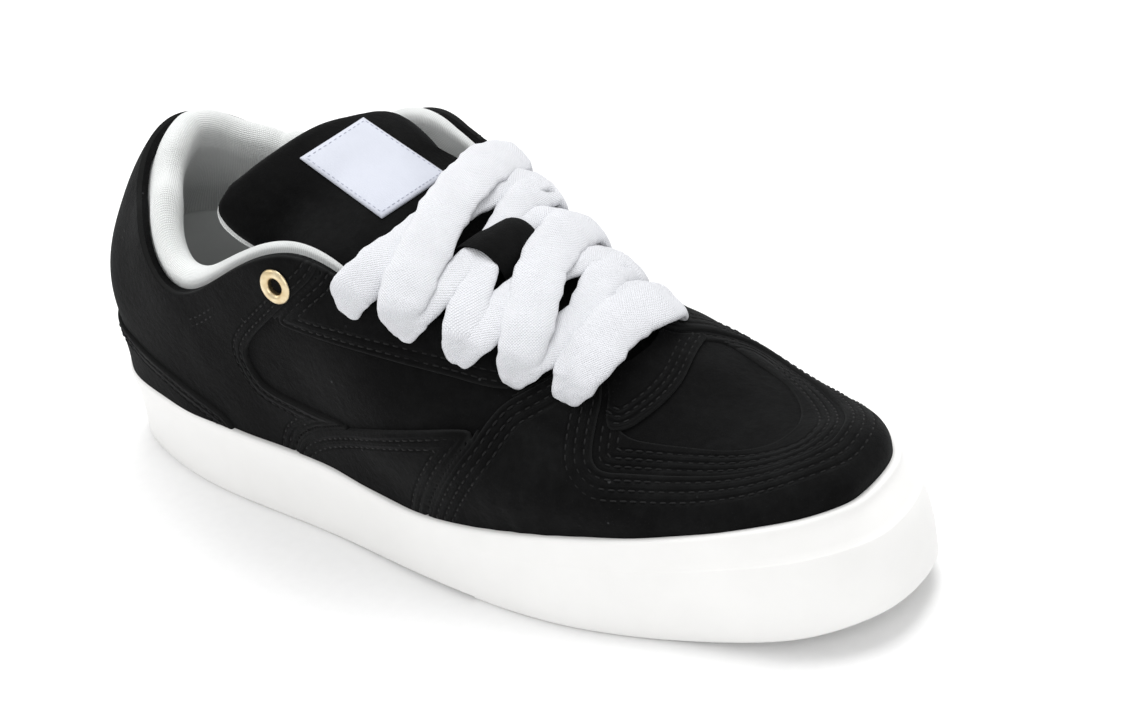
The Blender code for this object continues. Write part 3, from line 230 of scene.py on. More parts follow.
# Faces and along/around coordinates of rings joined in order.
def ringFaces(rows, count, closed=True):
    faces = []
    for i in range(rows - 1):
        for j in range(count if closed else count - 1):
            k = (j + 1) % count
            faces.append((i * count + j, i * count + k, (i + 1) * count + k, (i + 1) * count + j))
    return faces


def facingOut(made):
    work = bmesh.new()
    work.from_mesh(made.data)
    bmesh.ops.recalc_face_normals(work, faces=work.faces)
    work.to_mesh(made.data)
    work.free()
    return made


def lofted(name, rings, looks, sharp=60):
    rings = np.asarray(rings, float)
    rows, count = rings.shape[:2]
    faces = ringFaces(rows, count) + [tuple(range(count)), tuple(range((rows - 1) * count, rows * count))]
    along = np.repeat(runOf(rings.mean(1)), count)
    around = np.tile(runOf(rings[rows // 2]), rows)
    uvs = np.stack([along, around], -1) * 100
    made = meshPiece(name, rings.reshape(-1, 3), faces, looks, uvs=uvs, sharp=sharp)
    return facingOut(made)


# Materials.
def nodeTools(name):
    made = bpy.data.materials.new(name)
    made.use_nodes = True
    tree = made.node_tree
    shader = tree.nodes["Principled BSDF"]

    def node(kind, **values):
        new = tree.nodes.new(kind)
        for key, value in values.items():
            if hasattr(new, key) and key not in new.inputs:
                setattr(new, key, value)
            else:
                new.inputs[key].default_value = value
        return new

    def link(source, target):
        tree.links.new(source, target)

    return made, shader, node, link


# Steps of grey or colour along a 0 to 1 value.
def ramp(node, link, source, stops):
    made = node("ShaderNodeValToRGB")
    band = made.color_ramp
    while len(band.elements) < len(stops):
        band.elements.new(0.5)
    for element, (place, shade) in zip(band.elements, stops):
        element.position = place
        element.color = (*(shade if isinstance(shade, tuple) else (shade,) * 3), 1)
    link(source, made.inputs[0])
    return made.outputs[0]


def blendOf(node, link, share, first, second, kind="MIX"):
    made = node("ShaderNodeMix", data_type="RGBA", blend_type=kind)
    if hasattr(share, "links"):
        link(share, made.inputs[0])
    else:
        made.inputs[0].default_value = share
    for socket, value in ((made.inputs[6], first), (made.inputs[7], second)):
        if isinstance(value, tuple):
            socket.default_value = (*value, 1)
        else:
            link(value, socket)
    return made.outputs[2]


def mathOf(node, link, kind, first, second=0.0):
    made = node("ShaderNodeMath", operation=kind)
    for socket, value in ((made.inputs[0], first), (made.inputs[1], second)):
        if isinstance(value, (int, float)):
            socket.default_value = value
        else:
            link(value, socket)
    return made.outputs[0]


def bumpOf(node, link, height, strength, distance, before=None):
    made = node("ShaderNodeBump", Strength=strength, Distance=distance)
    link(height, made.inputs["Height"])
    if before is not None:
        link(before, made.inputs["Normal"])
    return made.outputs[0]


# The lighter edge colour is a painted highlight along the panels' rounded edges.
suedeLook = {
    "deep": (0.0014, 0.0014, 0.0015), "worn": (0.0042, 0.0043, 0.0044), "fleck": (0.040, 0.041, 0.042),
    "edgeHighlight": (0.0095, 0.0097, 0.0097), "sheen": 0.035, "napScale": 2600, "blotchScale": 38,
}


# Suede with a short nap. Rows are the distances of its seams from the panel's edge, in metres.
def suedeMaterial(name, rows=()):
    made, shader, node, link = nodeTools(name)
    place = node("ShaderNodeTexCoord").outputs["Object"]
    nap = node("ShaderNodeTexNoise", Scale=suedeLook["napScale"], Detail=2.0, Roughness=0.7)
    brushed = node("ShaderNodeTexNoise", Scale=suedeLook["blotchScale"], Detail=4.0, Roughness=0.62, Distortion=0.6)
    fine = node("ShaderNodeTexNoise", Scale=420, Detail=3.0, Roughness=0.6)
    flecks = node("ShaderNodeTexVoronoi", Scale=115)
    rare = node("ShaderNodeTexNoise", Scale=70, Detail=0.0)
    for texture in (nap, brushed, fine, flecks, rare):
        link(place, texture.inputs["Vector"])
    tone = blendOf(node, link, ramp(node, link, brushed.outputs[0], ((0.36, 0.0), (0.66, 1.0))),
                   suedeLook["deep"], suedeLook["worn"])
    grain = ramp(node, link, fine.outputs[0], ((0.3, 0.72), (0.7, 1.25)))
    tone = blendOf(node, link, 1.0, tone, grain, "MULTIPLY")
    dot = ramp(node, link, flecks.outputs[0], ((0.0, 1.0), (0.045, 0.9), (0.07, 0.0)))
    some = ramp(node, link, rare.outputs[0], ((0.60, 0.0), (0.64, 1.0)))
    tone = blendOf(node, link, mathOf(node, link, "MULTIPLY", dot, some), tone, suedeLook["fleck"])
    # Painted highlight: the suede turns lighter along the rim mark, the last 0.6 mm of a soft panel's edge.
    rim = node("ShaderNodeAttribute", attribute_name="rim").outputs["Fac"]
    tone = blendOf(node, link, rim, tone, suedeLook["edgeHighlight"])
    link(tone, shader.inputs["Base Color"])
    shader.inputs["Roughness"].default_value = 0.93
    shader.inputs["Specular IOR Level"].default_value = 0.10
    shader.inputs["Sheen Weight"].default_value = suedeLook["sheen"]
    shader.inputs["Sheen Roughness"].default_value = 0.42
    shader.inputs["Sheen Tint"].default_value = (0.75, 0.78, 0.80, 1)
    relief = bumpOf(node, link, nap.outputs[0], 0.55, 0.0003)
    relief = bumpOf(node, link, fine.outputs[0], 0.5, 0.0006, relief)
    relief = bumpOf(node, link, brushed.outputs[0], 0.25, 0.0016, relief)
    if rows:
        inset = node("ShaderNodeAttribute", attribute_name="inset").outputs["Fac"]
        groove = None
        for row in rows:
            away = mathOf(node, link, "ABSOLUTE", mathOf(node, link, "SUBTRACT", inset, row))
            near = node("ShaderNodeMapRange", interpolation_type="SMOOTHSTEP")
            link(away, near.inputs[0])
            for key, value in ((1, 0.0), (2, 0.0011), (3, -1.0), (4, 0.0)):
                near.inputs[key].default_value = value
            groove = near.outputs[0] if groove is None else mathOf(node, link, "ADD", groove, near.outputs[0])
        relief = bumpOf(node, link, groove, 1.0, 0.0005, relief)
    link(relief, shader.inputs["Normal"])
    return made


# Plain cloth with a square weave that reads the piece's own UV map, in centimetres. Its second colour, shade, is
# painted shade in the hollows between the threads.
def clothMaterial(name, colour, shade, threads=22.0, depth=0.0003, rough=0.9, sheen=0.15, skew=0.0):
    made, shader, node, link = nodeTools(name)
    where = node("ShaderNodeTexCoord").outputs
    turned = node("ShaderNodeMapping")
    turned.inputs["Rotation"].default_value = (0, 0, skew)
    link(where["UV"], turned.inputs["Vector"])
    waves = []
    for way in ("X", "Y"):
        wave = node("ShaderNodeTexWave", wave_type="BANDS", bands_direction=way, Scale=threads / 6.2832 * 2)
        wave.inputs["Distortion"].default_value = 0.6
        wave.inputs["Detail Scale"].default_value = 3.0
        link(turned.outputs[0], wave.inputs["Vector"])
        waves.append(wave.outputs[1])
    weave = mathOf(node, link, "MULTIPLY", waves[0], waves[1])
    soft = node("ShaderNodeTexNoise", Scale=60, Detail=3.0)
    link(where["Object"], soft.inputs["Vector"])
    fuzz = node("ShaderNodeTexNoise", Scale=2400, Detail=2.0)
    link(where["Object"], fuzz.inputs["Vector"])
    # Painted shade: the cloth darkens to its shade colour in the weave's hollows, where the bump is low.
    tone = blendOf(node, link, ramp(node, link, weave, ((0.0, 0.0), (0.55, 1.0))), shade, colour)
    tone = blendOf(node, link, 1.0, tone, ramp(node, link, soft.outputs[0], ((0.3, 0.95), (0.7, 1.02))), "MULTIPLY")
    link(tone, shader.inputs["Base Color"])
    shader.inputs["Roughness"].default_value = rough
    shader.inputs["Sheen Weight"].default_value = sheen
    shader.inputs["Specular IOR Level"].default_value = 0.25
    relief = bumpOf(node, link, weave, 0.7, depth)
    link(bumpOf(node, link, fuzz.outputs[0], 0.4, 0.0002, relief), shader.inputs["Normal"])
    return made


def rubberMaterial():
    made, shader, node, link = nodeTools("whiteRubber")
    place = node("ShaderNodeTexCoord").outputs["Object"]
    soft = node("ShaderNodeTexNoise", Scale=45, Detail=4.0, Roughness=0.6)
    pores = node("ShaderNodeTexNoise", Scale=1500, Detail=2.0)
    for texture in (soft, pores):
        link(place, texture.inputs["Vector"])
    tone = blendOf(node, link, ramp(node, link, soft.outputs[0], ((0.3, 0.0), (0.7, 1.0))),
                   (0.79, 0.787, 0.775), (0.82, 0.817, 0.807))
    link(tone, shader.inputs["Base Color"])
    link(ramp(node, link, soft.outputs[0], ((0.3, 0.42), (0.7, 0.54))), shader.inputs["Roughness"])
    relief = bumpOf(node, link, pores.outputs[0], 0.15, 0.0001)
    link(bumpOf(node, link, soft.outputs[0], 0.12, 0.0008, relief), shader.inputs["Normal"])
    return made


def threadMaterial(name, colour, rough=0.75):
    made, shader, node, link = nodeTools(name)
    place = node("ShaderNodeTexCoord").outputs["Object"]
    twist = node("ShaderNodeTexNoise", Scale=1800, Detail=1.0)
    link(place, twist.inputs["Vector"])
    tone = blendOf(node, link, ramp(node, link, twist.outputs[0], ((0.35, 0.7), (0.65, 1.15))), (0, 0, 0), colour)
    link(tone, shader.inputs["Base Color"])
    shader.inputs["Roughness"].default_value = rough
    shader.inputs["Specular IOR Level"].default_value = 0.2
    shader.inputs["Sheen Weight"].default_value = 0.03
    link(bumpOf(node, link, twist.outputs[0], 0.5, 0.0002), shader.inputs["Normal"])
    return made


def brassMaterial():
    made, shader, node, link = nodeTools("paleBrass")
    place = node("ShaderNodeTexCoord").outputs["Object"]
    hammered = node("ShaderNodeTexNoise", Scale=900, Detail=3.0, Roughness=0.6)
    stain = node("ShaderNodeTexNoise", Scale=260, Detail=2.0)
    for texture in (hammered, stain):
        link(place, texture.inputs["Vector"])
    tone = blendOf(node, link, ramp(node, link, stain.outputs[0], ((0.35, 0.0), (0.7, 1.0))),
                   (0.62, 0.49, 0.29), (0.83, 0.72, 0.50))
    link(tone, shader.inputs["Base Color"])
    shader.inputs["Metallic"].default_value = 1.0
    link(ramp(node, link, hammered.outputs[0], ((0.3, 0.26), (0.7, 0.46))), shader.inputs["Roughness"])
    link(bumpOf(node, link, hammered.outputs[0], 0.25, 0.00025), shader.inputs["Normal"])
    return made


# Each cloth's second colour is the painted shade in the hollows of its weave.
whiteLining = clothMaterial("whiteMesh", (0.84, 0.855, 0.845), (0.66, 0.675, 0.67), threads=14, depth=0.0004)
greyFootbed = clothMaterial("greyFootbed", (0.10, 0.10, 0.10), (0.045, 0.045, 0.045), threads=16)
laceCloth = clothMaterial("laceCotton", (0.79, 0.797, 0.825), (0.66, 0.67, 0.705), threads=15, depth=0.0005,
                          sheen=0.3, skew=0.62)
labelCloth = clothMaterial("labelTwill", (0.60, 0.622, 0.69), (0.54, 0.562, 0.635), threads=26, depth=0.00012,
                           rough=0.6, skew=0.5)
blackThread = threadMaterial("blackThread", (0.0045, 0.0046, 0.0048))
paleThread = threadMaterial("paleThread", (0.42, 0.44, 0.52))
plainSuede = suedeMaterial("blackSuede")
print("materials ready")


# Suede panels. Outlines seen from the side: share of the length, share of the collar's height.
toeCapSide = (
    (0.521, 0.200), (0.524, 0.285), (0.546, 0.404), (0.568, 0.501), (0.595, 0.612), (0.601, 0.659),
    (0.612, 0.720), (0.628, 0.743), (0.645, 0.766), (0.672, 0.810), (0.690, 0.900), (1.050, 0.900),
    (1.050, 0.200),
)
eyestaySide = (
    (0.343, 0.858), (0.380, 0.852), (0.451, 0.849), (0.535, 0.808), (0.604, 0.752), (0.622, 0.762),
    (0.640, 0.786), (0.666, 0.828), (0.684, 0.920), (0.684, 1.300), (0.425, 1.300), (0.421, 1.100),
    (0.382, 0.990),
)
archSide = (
    (0.325, 0.200), (0.329, 0.335), (0.364, 0.427), (0.430, 0.515), (0.507, 0.605), (0.589, 0.656),
    (0.588, 0.612), (0.561, 0.501), (0.539, 0.404), (0.517, 0.285), (0.514, 0.200),
)
quarterSide = (
    (0.319, 0.200), (0.323, 0.345), (0.357, 0.437), (0.390, 0.482), (0.420, 0.521), (0.408, 0.512),
    (0.355, 0.508), (0.302, 0.528), (0.286, 0.580), (0.281, 0.661), (0.297, 0.741), (0.340, 0.872),
    (0.374, 0.976), (0.413, 1.100), (0.415, 1.300), (-0.100, 1.300), (-0.100, 0.200),
)
counterSide = (
    (0.240, 0.200), (0.234, 0.323), (0.195, 0.378), (0.152, 0.414), (0.085, 0.474), (0.030, 0.496),
    (-0.050, 0.500), (-0.050, 0.200),
)
# Outlines seen from above: share of the length, share of half the ball width.
toeCapPlan = (
    (0.620, -0.240), (0.676, -0.240), (0.690, -0.330), (0.698, -0.440), (0.709, -0.585), (0.716, -0.620),
    (0.728, -0.625), (0.755, -0.549), (0.792, -0.456), (0.830, -0.355), (0.869, -0.242), (0.903, -0.111),
    (0.916, 0.020), (0.914, 0.190), (0.900, 0.330), (0.872, 0.470), (0.832, 0.600), (0.782, 0.710),
    (0.738, 0.735), (0.718, 0.700), (0.702, 0.540), (0.694, 0.420), (0.682, 0.300), (0.620, 0.290),
)
vampPlan = (
    (0.700, -0.200), (0.717, -0.462), (0.776, -0.311), (0.825, -0.176), (0.859, -0.035), (0.866, 0.080),
    (0.863, 0.178), (0.844, 0.333), (0.813, 0.460), (0.790, 0.515), (0.749, 0.535), (0.712, 0.550),
    (0.700, 0.200),
)
stripPlan = (
    (0.620, -0.200), (0.680, -0.210), (0.695, -0.310), (0.704, -0.410), (0.714, -0.452), (0.724, -0.400),
    (0.731, -0.335), (0.738, -0.147), (0.735, 0.050), (0.724, 0.211), (0.712, 0.370), (0.705, 0.500),
    (0.699, 0.420), (0.686, 0.270), (0.620, 0.260),
)
photoView = {"azimuth": 45.262710, "elevation": 32.305086, "roll": -10.105110, "distance": 1.614477,
             "right": 0.0170909, "up": 0.0045422, "lens": 167.0102, "sensor": 36, "aim": 0.045,
             "wide": 1125, "high": 720}


# The camera's turn: its right, its top and the way back to it.
def viewTurn():
    az, el, roll = (math.radians(photoView[key]) for key in ("azimuth", "elevation", "roll"))
    back = Vector((math.sin(az) * math.cos(el), -math.cos(az) * math.cos(el), math.sin(el)))
    level = Vector((math.cos(az), math.sin(az), 0))
    up = back.cross(level)
    return level * math.cos(roll) + up * math.sin(roll), up * math.cos(roll) - level * math.sin(roll), back


# Where the camera sees points, in its frame of 1125 by 720.
def inFrame(points):
    right, top, back = (np.array(way) for way in viewTurn())
    places = points - np.array([0, 0, photoView["aim"]])
    size = photoView["lens"] / photoView["sensor"] * photoView["wide"] / (photoView["distance"] - places @ back)
    across = photoView["wide"] / 2 + size * (places @ right - photoView["right"])
    down = photoView["high"] / 2 - size * (places @ top - photoView["up"])
    return np.stack([across, down], -1)


eyeletRows = {
    "stations": (5.60, 6.13, 6.64, 7.12, 7.62),
    "inset": (0.0080, 0.0085, 0.0085, 0.0085, 0.0095),  # from the throat's edge, outer side
    "innerInset": (0.0055, 0.0055, 0.0055, 0.0055, 0.0060),
    "hole": 0.0024,
}
ringEyelet = {
    "station": 4.80, "below": 0.0098, "radius": 0.0058, "hole": 0.0027, "cut": 0.0031, "thick": 0.0012, "turns": 72,
    # the dark disc behind the hole, painted shade inside the hole: depth, share of its radius
    "holeShade": ((-0.0010, 0.01), (-0.0010, 0.6), (-0.0011, 1.0), (-0.0019, 1.0), (-0.0019, 0.01)),
    "holeShadeRadius": 0.0030,
}
panelHeights = {
    # bottom and top over the upper's surface
    "band": (0.00003, 0.0009), "strip": (0.00006, 0.0015), "stay": (0.00003, 0.0011),
    "quarter": (0.00006, 0.0016), "arch": (0.00009, 0.0020), "cap": (0.00012, 0.0021),
    "counter": (0.0014, 0.0028), "tuck": 0.003, "softEdge": 0.0004, "round": (0.00025, 0.0008),
}
seamRows = {"cap": (0.0022, 0.0050, 0.0078), "band": (0.0022, 0.0048, 0.0074), "strip": (0.0018, 0.0040, 0.0062),
            "stay": (0.0020, 0.0048), "quarter": (0.0018, 0.0045), "arch": (0.0026, 0.0056),
            "counter": (0.0022, 0.0046)}


# Corners cut off twice or more, so a drawn outline runs smoothly.
def rounded(outline, times=3):
    points = np.asarray(outline, float)
    for _ in range(times):
        after = np.roll(points, -1, 0)
        points = np.stack([points * 0.75 + after * 0.25, points * 0.25 + after * 0.75], 1).reshape(-1, 2)
    return points


# Distance inside an outline, below 0 outside it.
def insideBy(places, outline):
    flat = places.reshape(-1, 2)
    best = np.full(len(flat), 1e9)
    inside = np.zeros(len(flat), bool)
    for a, b in zip(outline, np.roll(outline, -1, 0)):
        way = b - a
        t = np.clip(((flat - a) @ way) / max(way @ way, 1e-12), 0, 1)
        best = np.minimum(best, np.linalg.norm(flat - a - t[:, None] * way, axis=1))
        crosses = (a[1] > flat[:, 1]) != (b[1] > flat[:, 1])
        if abs(way[1]) > 1e-12:
            inside ^= crosses & (flat[:, 0] < a[0] + (flat[:, 1] - a[1]) * way[0] / way[1])
    return np.where(inside, best, -best).reshape(places.shape[:-1])


# A grid over the upper: points, normals and shared numbers where both sides meet at the crest.
def skinGrid(columnCount, rowCount, below=0):
    side = np.linspace(0, toeStation, columnCount // 2 + 1)
    closed = np.linspace(0, toeStation, 5201)
    front = closed[throatHalfGap(closed) <= 0][0]
    side = side[np.abs(side - front) > 0.02]
    side = np.unique(np.concatenate([side, front - np.array([0, 0.0015, 0.005, 0.01, 0.018, 0.03, 0.045, 0.06])]))
    u = np.concatenate([side, roundStations - side[-2:0:-1]])
    rims = rimAngle(u)
    steps = np.linspace(0, 1, 81)[:, None] * rims[None]
    wall = section(np.broadcast_to(u, steps.shape), steps)
    lengths = np.concatenate([np.zeros((1, len(u))), np.cumsum(np.linalg.norm(np.diff(wall, axis=0), axis=2), 0)])
    shares = np.linspace(0, 1, rowCount)
    angles = np.stack([np.interp(shares * lengths[-1, j], lengths[:, j], steps[:, j]) for j in range(len(u))], 1)
    if below:
        angles = np.concatenate([np.repeat(np.linspace(-1, 0, below, endpoint=False)[:, None], len(u), 1), angles])
    stations = np.broadcast_to(u, angles.shape)
    points, out = section(stations, angles), outNormal(stations, angles)
    rows, count = angles.shape
    numbers = np.arange(rows * count).reshape(rows, count)
    last = len(side) - 1
    for j in range(last + 1, count):
        if throatHalfGap(u[j]) <= 0:
            mate = 2 * last - j
            numbers[-1, j] = numbers[-1, mate]
            both = out[-1, j] + out[-1, mate]
            out[-1, j] = out[-1, mate] = both / np.linalg.norm(both)
    points, out = smoothTip(points, out)
    return {"u": u, "points": points, "out": out, "numbers": numbers}


tipSmoothing = {"reach": 0.026, "radius": 0.018, "spread": 0.0034, "fade": 0.008}


# The surface turns evenly where the columns run together over the toe.
def smoothTip(points, out):
    tip = section(np.array([float(toeStation)]), np.array([math.pi / 2]))[0]
    away = np.linalg.norm(points - tip, axis=-1)
    across = np.linalg.norm(np.roll(points, -1, 1) - np.roll(points, 1, 1), axis=-1)
    near = np.nonzero(away < tipSmoothing["reach"])
    at, ways, weight = points[near], out[near], across[near] + 1e-6
    rows = np.nonzero((away < tipSmoothing["radius"]).reshape(-1))[0]
    made, moved = out.reshape(-1, 3).copy(), points.reshape(-1, 3).copy()
    for n in rows:
        spot = points.reshape(-1, 3)[n]
        share = weight * np.exp(-((at - spot) ** 2).sum(1) / (2 * tipSmoothing["spread"]**2))
        share /= share.sum()
        mean = share @ ways
        mean /= np.linalg.norm(mean)
        mix = np.clip((tipSmoothing["radius"] - away.reshape(-1)[n]) / tipSmoothing["fade"], 0, 1)
        mix = mix * mix * (3 - 2 * mix)
        way = made[n] * (1 - mix) + mean * mix
        made[n] = way / np.linalg.norm(way)
        moved[n] += mean * ((share @ at - spot) @ mean) * mix
    return moved.reshape(points.shape), made.reshape(out.shape)


# Lines over the grid where a field has one value.
def fieldLines(grid, field, level):
    numbers = grid["numbers"]
    at, out, value = grid["points"].reshape(-1, 3), grid["out"].reshape(-1, 3), field.reshape(-1) - level
    shifted = field - level
    signs = shifted > 0
    turned = signs != np.roll(signs, -1, 1)
    mixed = (signs[:-1] != signs[1:]) | turned[:-1] | turned[1:]
    near, spots = {}, {}
    for i, j in zip(*np.nonzero(mixed)):
        k = (j + 1) % numbers.shape[1]
        quad = [int(numbers[i, j]), int(numbers[i, k]), int(numbers[i + 1, k]), int(numbers[i + 1, j])]
        met = []
        for a, b in zip(quad, quad[1:] + quad[:1]):
            if a != b and (value[a] > 0) != (value[b] > 0):
                key = (min(a, b), max(a, b))
                t = value[key[0]] / (value[key[0]] - value[key[1]])
                spots[key] = (at[key[0]] * (1 - t) + at[key[1]] * t, out[key[0]] * (1 - t) + out[key[1]] * t)
                met.append(key)
        for a, b in zip(met[::2], met[1::2]):
            near.setdefault(a, []).append(b)
            near.setdefault(b, []).append(a)
    lines, used = [], set()
    for start in sorted(near, key=lambda k: len(near[k])):
        if start in used:
            continue
        line, here = [start], start
        used.add(start)
        while True:
            after = [n for n in near[here] if n not in used]
            if not after:
                break
            here = after[0]
            used.add(here)
            line.append(here)
        if len(line) > 6:
            lines.append((np.array([spots[k][0] for k in line]), np.array([spots[k][1] for k in line])))
    return lines


# Distance over the surface from a field's zero line, in place of the distance in one view.
def surfaceField(grid, field, reach=0.016):
    lines = fieldLines(grid, field, 0.0)
    if not lines:
        return field
    starts = np.concatenate([line[0][:-1] for line in lines])
    ends = np.concatenate([line[0][1:] for line in lines])
    tree = kdtree.KDTree(len(starts))
    for n, middle in enumerate((starts + ends) / 2):
        tree.insert(middle, n)
    tree.balance()
    made = field.copy()
    flat = grid["points"].reshape(-1, 3)
    for n in np.nonzero(np.abs(field.reshape(-1)) < reach)[0]:
        best = 1e9
        for _, k, _ in tree.find_n(flat[n], 3):
            way = ends[k] - starts[k]
            t = min(1.0, max(0.0, float((flat[n] - starts[k]) @ way) / max(float(way @ way), 1e-14)))
            best = min(best, float(np.linalg.norm(flat[n] - starts[k] - t * way)))
        made.flat[n] = math.copysign(best, field.flat[n])
    return made


half = shoe["length"] / 2


# Signed distances of the grid's points from each panel's outline.
def panelFields(grid):
    points = grid["points"]
    seenSide = points[..., [0, 2]]
    seenTop = points[..., :2]
    sideSize = np.array([shoe["length"], shoe["collar"]])
    topSize = np.array([shoe["length"], shoe["ballWidth"] / 2])
    bySide = lambda table: surfaceField(grid, insideBy(seenSide, rounded(table) * sideSize - [half, 0]))
    byTop = lambda table: surfaceField(grid, insideBy(seenTop, rounded(table) * topSize - [half, 0]))
    capTop, vamp, strip = byTop(toeCapPlan), byTop(vampPlan), byTop(stripPlan)
    return {"cap": np.minimum(bySide(toeCapSide), -capTop), "band": np.minimum(capTop, -vamp), "vamp": vamp,
            "capTop": capTop, "strip": strip, "stay": bySide(eyestaySide), "arch": bySide(archSide),
            "quarter": bySide(quarterSide), "counter": bySide(counterSide)}


# A lace hole's middle at a height over the upper.
def eyeletPoint(u, lift):
    insets = eyeletRows["inset" if u <= toeStation else "innerInset"]
    return wallPlace(u, float(np.interp(min(u, roundStations - u), eyeletRows["stations"], insets)), lift)


def holeField(grid):
    points = grid["points"]
    best = np.full(points.shape[:2], 1e9)
    centres = [(eyeletPoint(u, 0.0), eyeletRows["hole"]) for u in eyeletRows["stations"]]
    centres += [(eyeletPoint(roundStations - u, 0.0), eyeletRows["hole"]) for u in eyeletRows["stations"]]
    for station in (ringEyelet["station"], roundStations - ringEyelet["station"]):
        centres.append((wallPlace(station, ringEyelet["below"], 0.0), ringEyelet["cut"]))
    for centre, radius in centres:
        best = np.minimum(best, np.linalg.norm(points - centre, axis=-1) - radius)
    return best


# Cuts the grid along level 0 of a field and makes a closed layer between two heights.
def cutLayer(name, grid, field, heights, looks, soft=True, bend=None, innerLook=0,
             seamField=None):
    numbers = grid["numbers"]
    at = grid["points"].reshape(-1, 3)
    out = grid["out"].reshape(-1, 3)
    value = field.reshape(-1)
    seamValue = (field if seamField is None else seamField).reshape(-1)
    points, ways, insets, seamAt, index, cuts = [], [], [], [], {}, {}

    def corner(n):
        if n not in index:
            index[n] = len(points)
            points.append(at[n])
            ways.append(out[n])
            insets.append(value[n])
            seamAt.append(seamValue[n])
        return index[n]

    def between(a, b, level):
        key = (min(a, b), max(a, b), level)
        if key not in cuts:
            a, b = key[:2]
            t = (level - insets[a]) / (insets[b] - insets[a])
            cuts[key] = len(points)
            way = ways[a] * (1 - t) + ways[b] * t
            points.append(points[a] * (1 - t) + points[b] * t)
            ways.append(way / np.linalg.norm(way))
            insets.append(level)
            seamAt.append(seamAt[a] * (1 - t) + seamAt[b] * t)
        return cuts[key]

    def part(face, level, above):
        made = []
        for a, b in zip(face, face[1:] + face[:1]):
            keepA, keepB = (insets[a] >= level) == above, (insets[b] >= level) == above
            if insets[a] == level or keepA:
                made.append(a)
            if keepA != keepB and insets[a] != level and insets[b] != level:
                made.append(between(a, b, level))
        made = [n for i, n in enumerate(made) if n != made[i - 1]]
        return made if len(set(made)) > 2 else None

    levels = panelHeights["round"] if soft else ()
    faces = []
    rows, columns = numbers.shape
    low = np.minimum.reduce([field[:-1], field[1:]])
    high = np.maximum.reduce([field[:-1], field[1:]])
    low, high = np.minimum(low, np.roll(low, -1, 1)), np.maximum(high, np.roll(high, -1, 1))
    for i, j in zip(*np.nonzero(high > 0)):
        k = (j + 1) % columns
        quad = [int(numbers[i, j]), int(numbers[i, k]), int(numbers[i + 1, k]), int(numbers[i + 1, j])]
        quad = [n for m, n in enumerate(quad) if n != quad[m - 1]]
        if len(quad) < 3:
            continue
        face = [corner(n) for n in quad]
        if low[i, j] <= 0:
            face = part(face, 0.0, True)
            if face is None:
                continue
        pieces = [face]
        for level in levels:
            if low[i, j] < level:
                pieces = [p for f in pieces for p in (part(f, level, True), part(f, level, False)) if p]
        faces += [tuple(f) for f in pieces]
    points, ways, insets = np.array(points), np.array(ways), np.array(insets)
    drop = np.interp(insets, (0, *levels), (panelHeights["softEdge"], 0.0001, 0.0)) if soft else 0 * insets
    bottom, top = heights
    lift = np.zeros(len(points)) if bend is None else bend(points)
    upper = points + ways * (top + lift - drop)[:, None]
    lower = points + ways * bottom
    number = len(points)
    owners = {}
    for face in faces:
        for a, b in zip(face, face[1:] + face[:1]):
            owners[(a, b)] = owners.get((a, b), 0) + 1
    walls = [(b, a, a + number, b + number) for a, b in owners if (b, a) not in owners]
    under = [tuple(n + number for n in face[::-1]) for face in faces]
    # The rim mark is where the suede gets its painted edge highlight.
    rim = np.clip(1 - insets / 0.0006, 0, 1) * (1.0 if soft else 0.0)
    marks = {"rim": np.concatenate([rim, rim]), "inset": np.array(seamAt + seamAt)}
    faceLooks = [0] * len(faces) + [innerLook] * len(under) + [0] * len(walls)
    return meshPiece(name, np.concatenate([upper, lower]), faces + under + walls, looks,
                     faceLooks=faceLooks, marks=marks, sharp=62)


# Gentle waves in the suede where the foot bends and round the heel.
def slackness(points):
    x, y, z = points.T
    ripple = np.sin(x * 210 + y * 60) * np.sin(z * 150 - x * 40) * 0.00022
    flex = np.exp(-((x - 0.045) / 0.02) ** 2) * np.sin(x * 700 + z * 90) * 0.00010
    return ripple + flex


coarse = skinGrid(400, 66, below=3)
fine = skinGrid(620, 104)
fields = panelFields(fine)
holes = holeField(fine)
upper = cutLayer("upperSkin", coarse, holeField(coarse), (-shoe["wall"], 0.0), [plainSuede, whiteLining],
                 soft=False, innerLook=1)
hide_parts("upper")
print("upper", len(upper.data.polygons))


def sideOnly(inner):
    u = np.broadcast_to(fine["u"], fine["points"].shape[:2])
    return (u > toeStation) if inner else (u <= toeStation)


tuck = panelHeights["tuck"]


# A lower layer runs on under the one that covers its edge.
def runningUnder(field, *covers):
    return np.maximum(field, np.minimum(field + tuck, np.maximum.reduce(covers) + 0.0012))


# How far below the topline, where the upper is open.
lengths = np.linalg.norm(np.diff(fine["points"], axis=0), axis=2).sum(0)
topline = (1 - np.linspace(0, 1, len(fine["points"])))[:, None] * lengths[None]
topline = np.where(throatHalfGap(fine["u"])[None] > 0, topline, 1.0)
holes = np.minimum(holes, topline)
under = {key: fields[key] for key in ("strip", "cap", "counter")}
under["band"] = np.minimum(fields["capTop"] + tuck, -fields["vamp"])
under["stay"] = runningUnder(fields["stay"], fields["quarter"], fields["cap"])
under["quarter"] = runningUnder(fields["quarter"], fields["arch"])
under["arch"] = runningUnder(fields["arch"], fields["cap"])
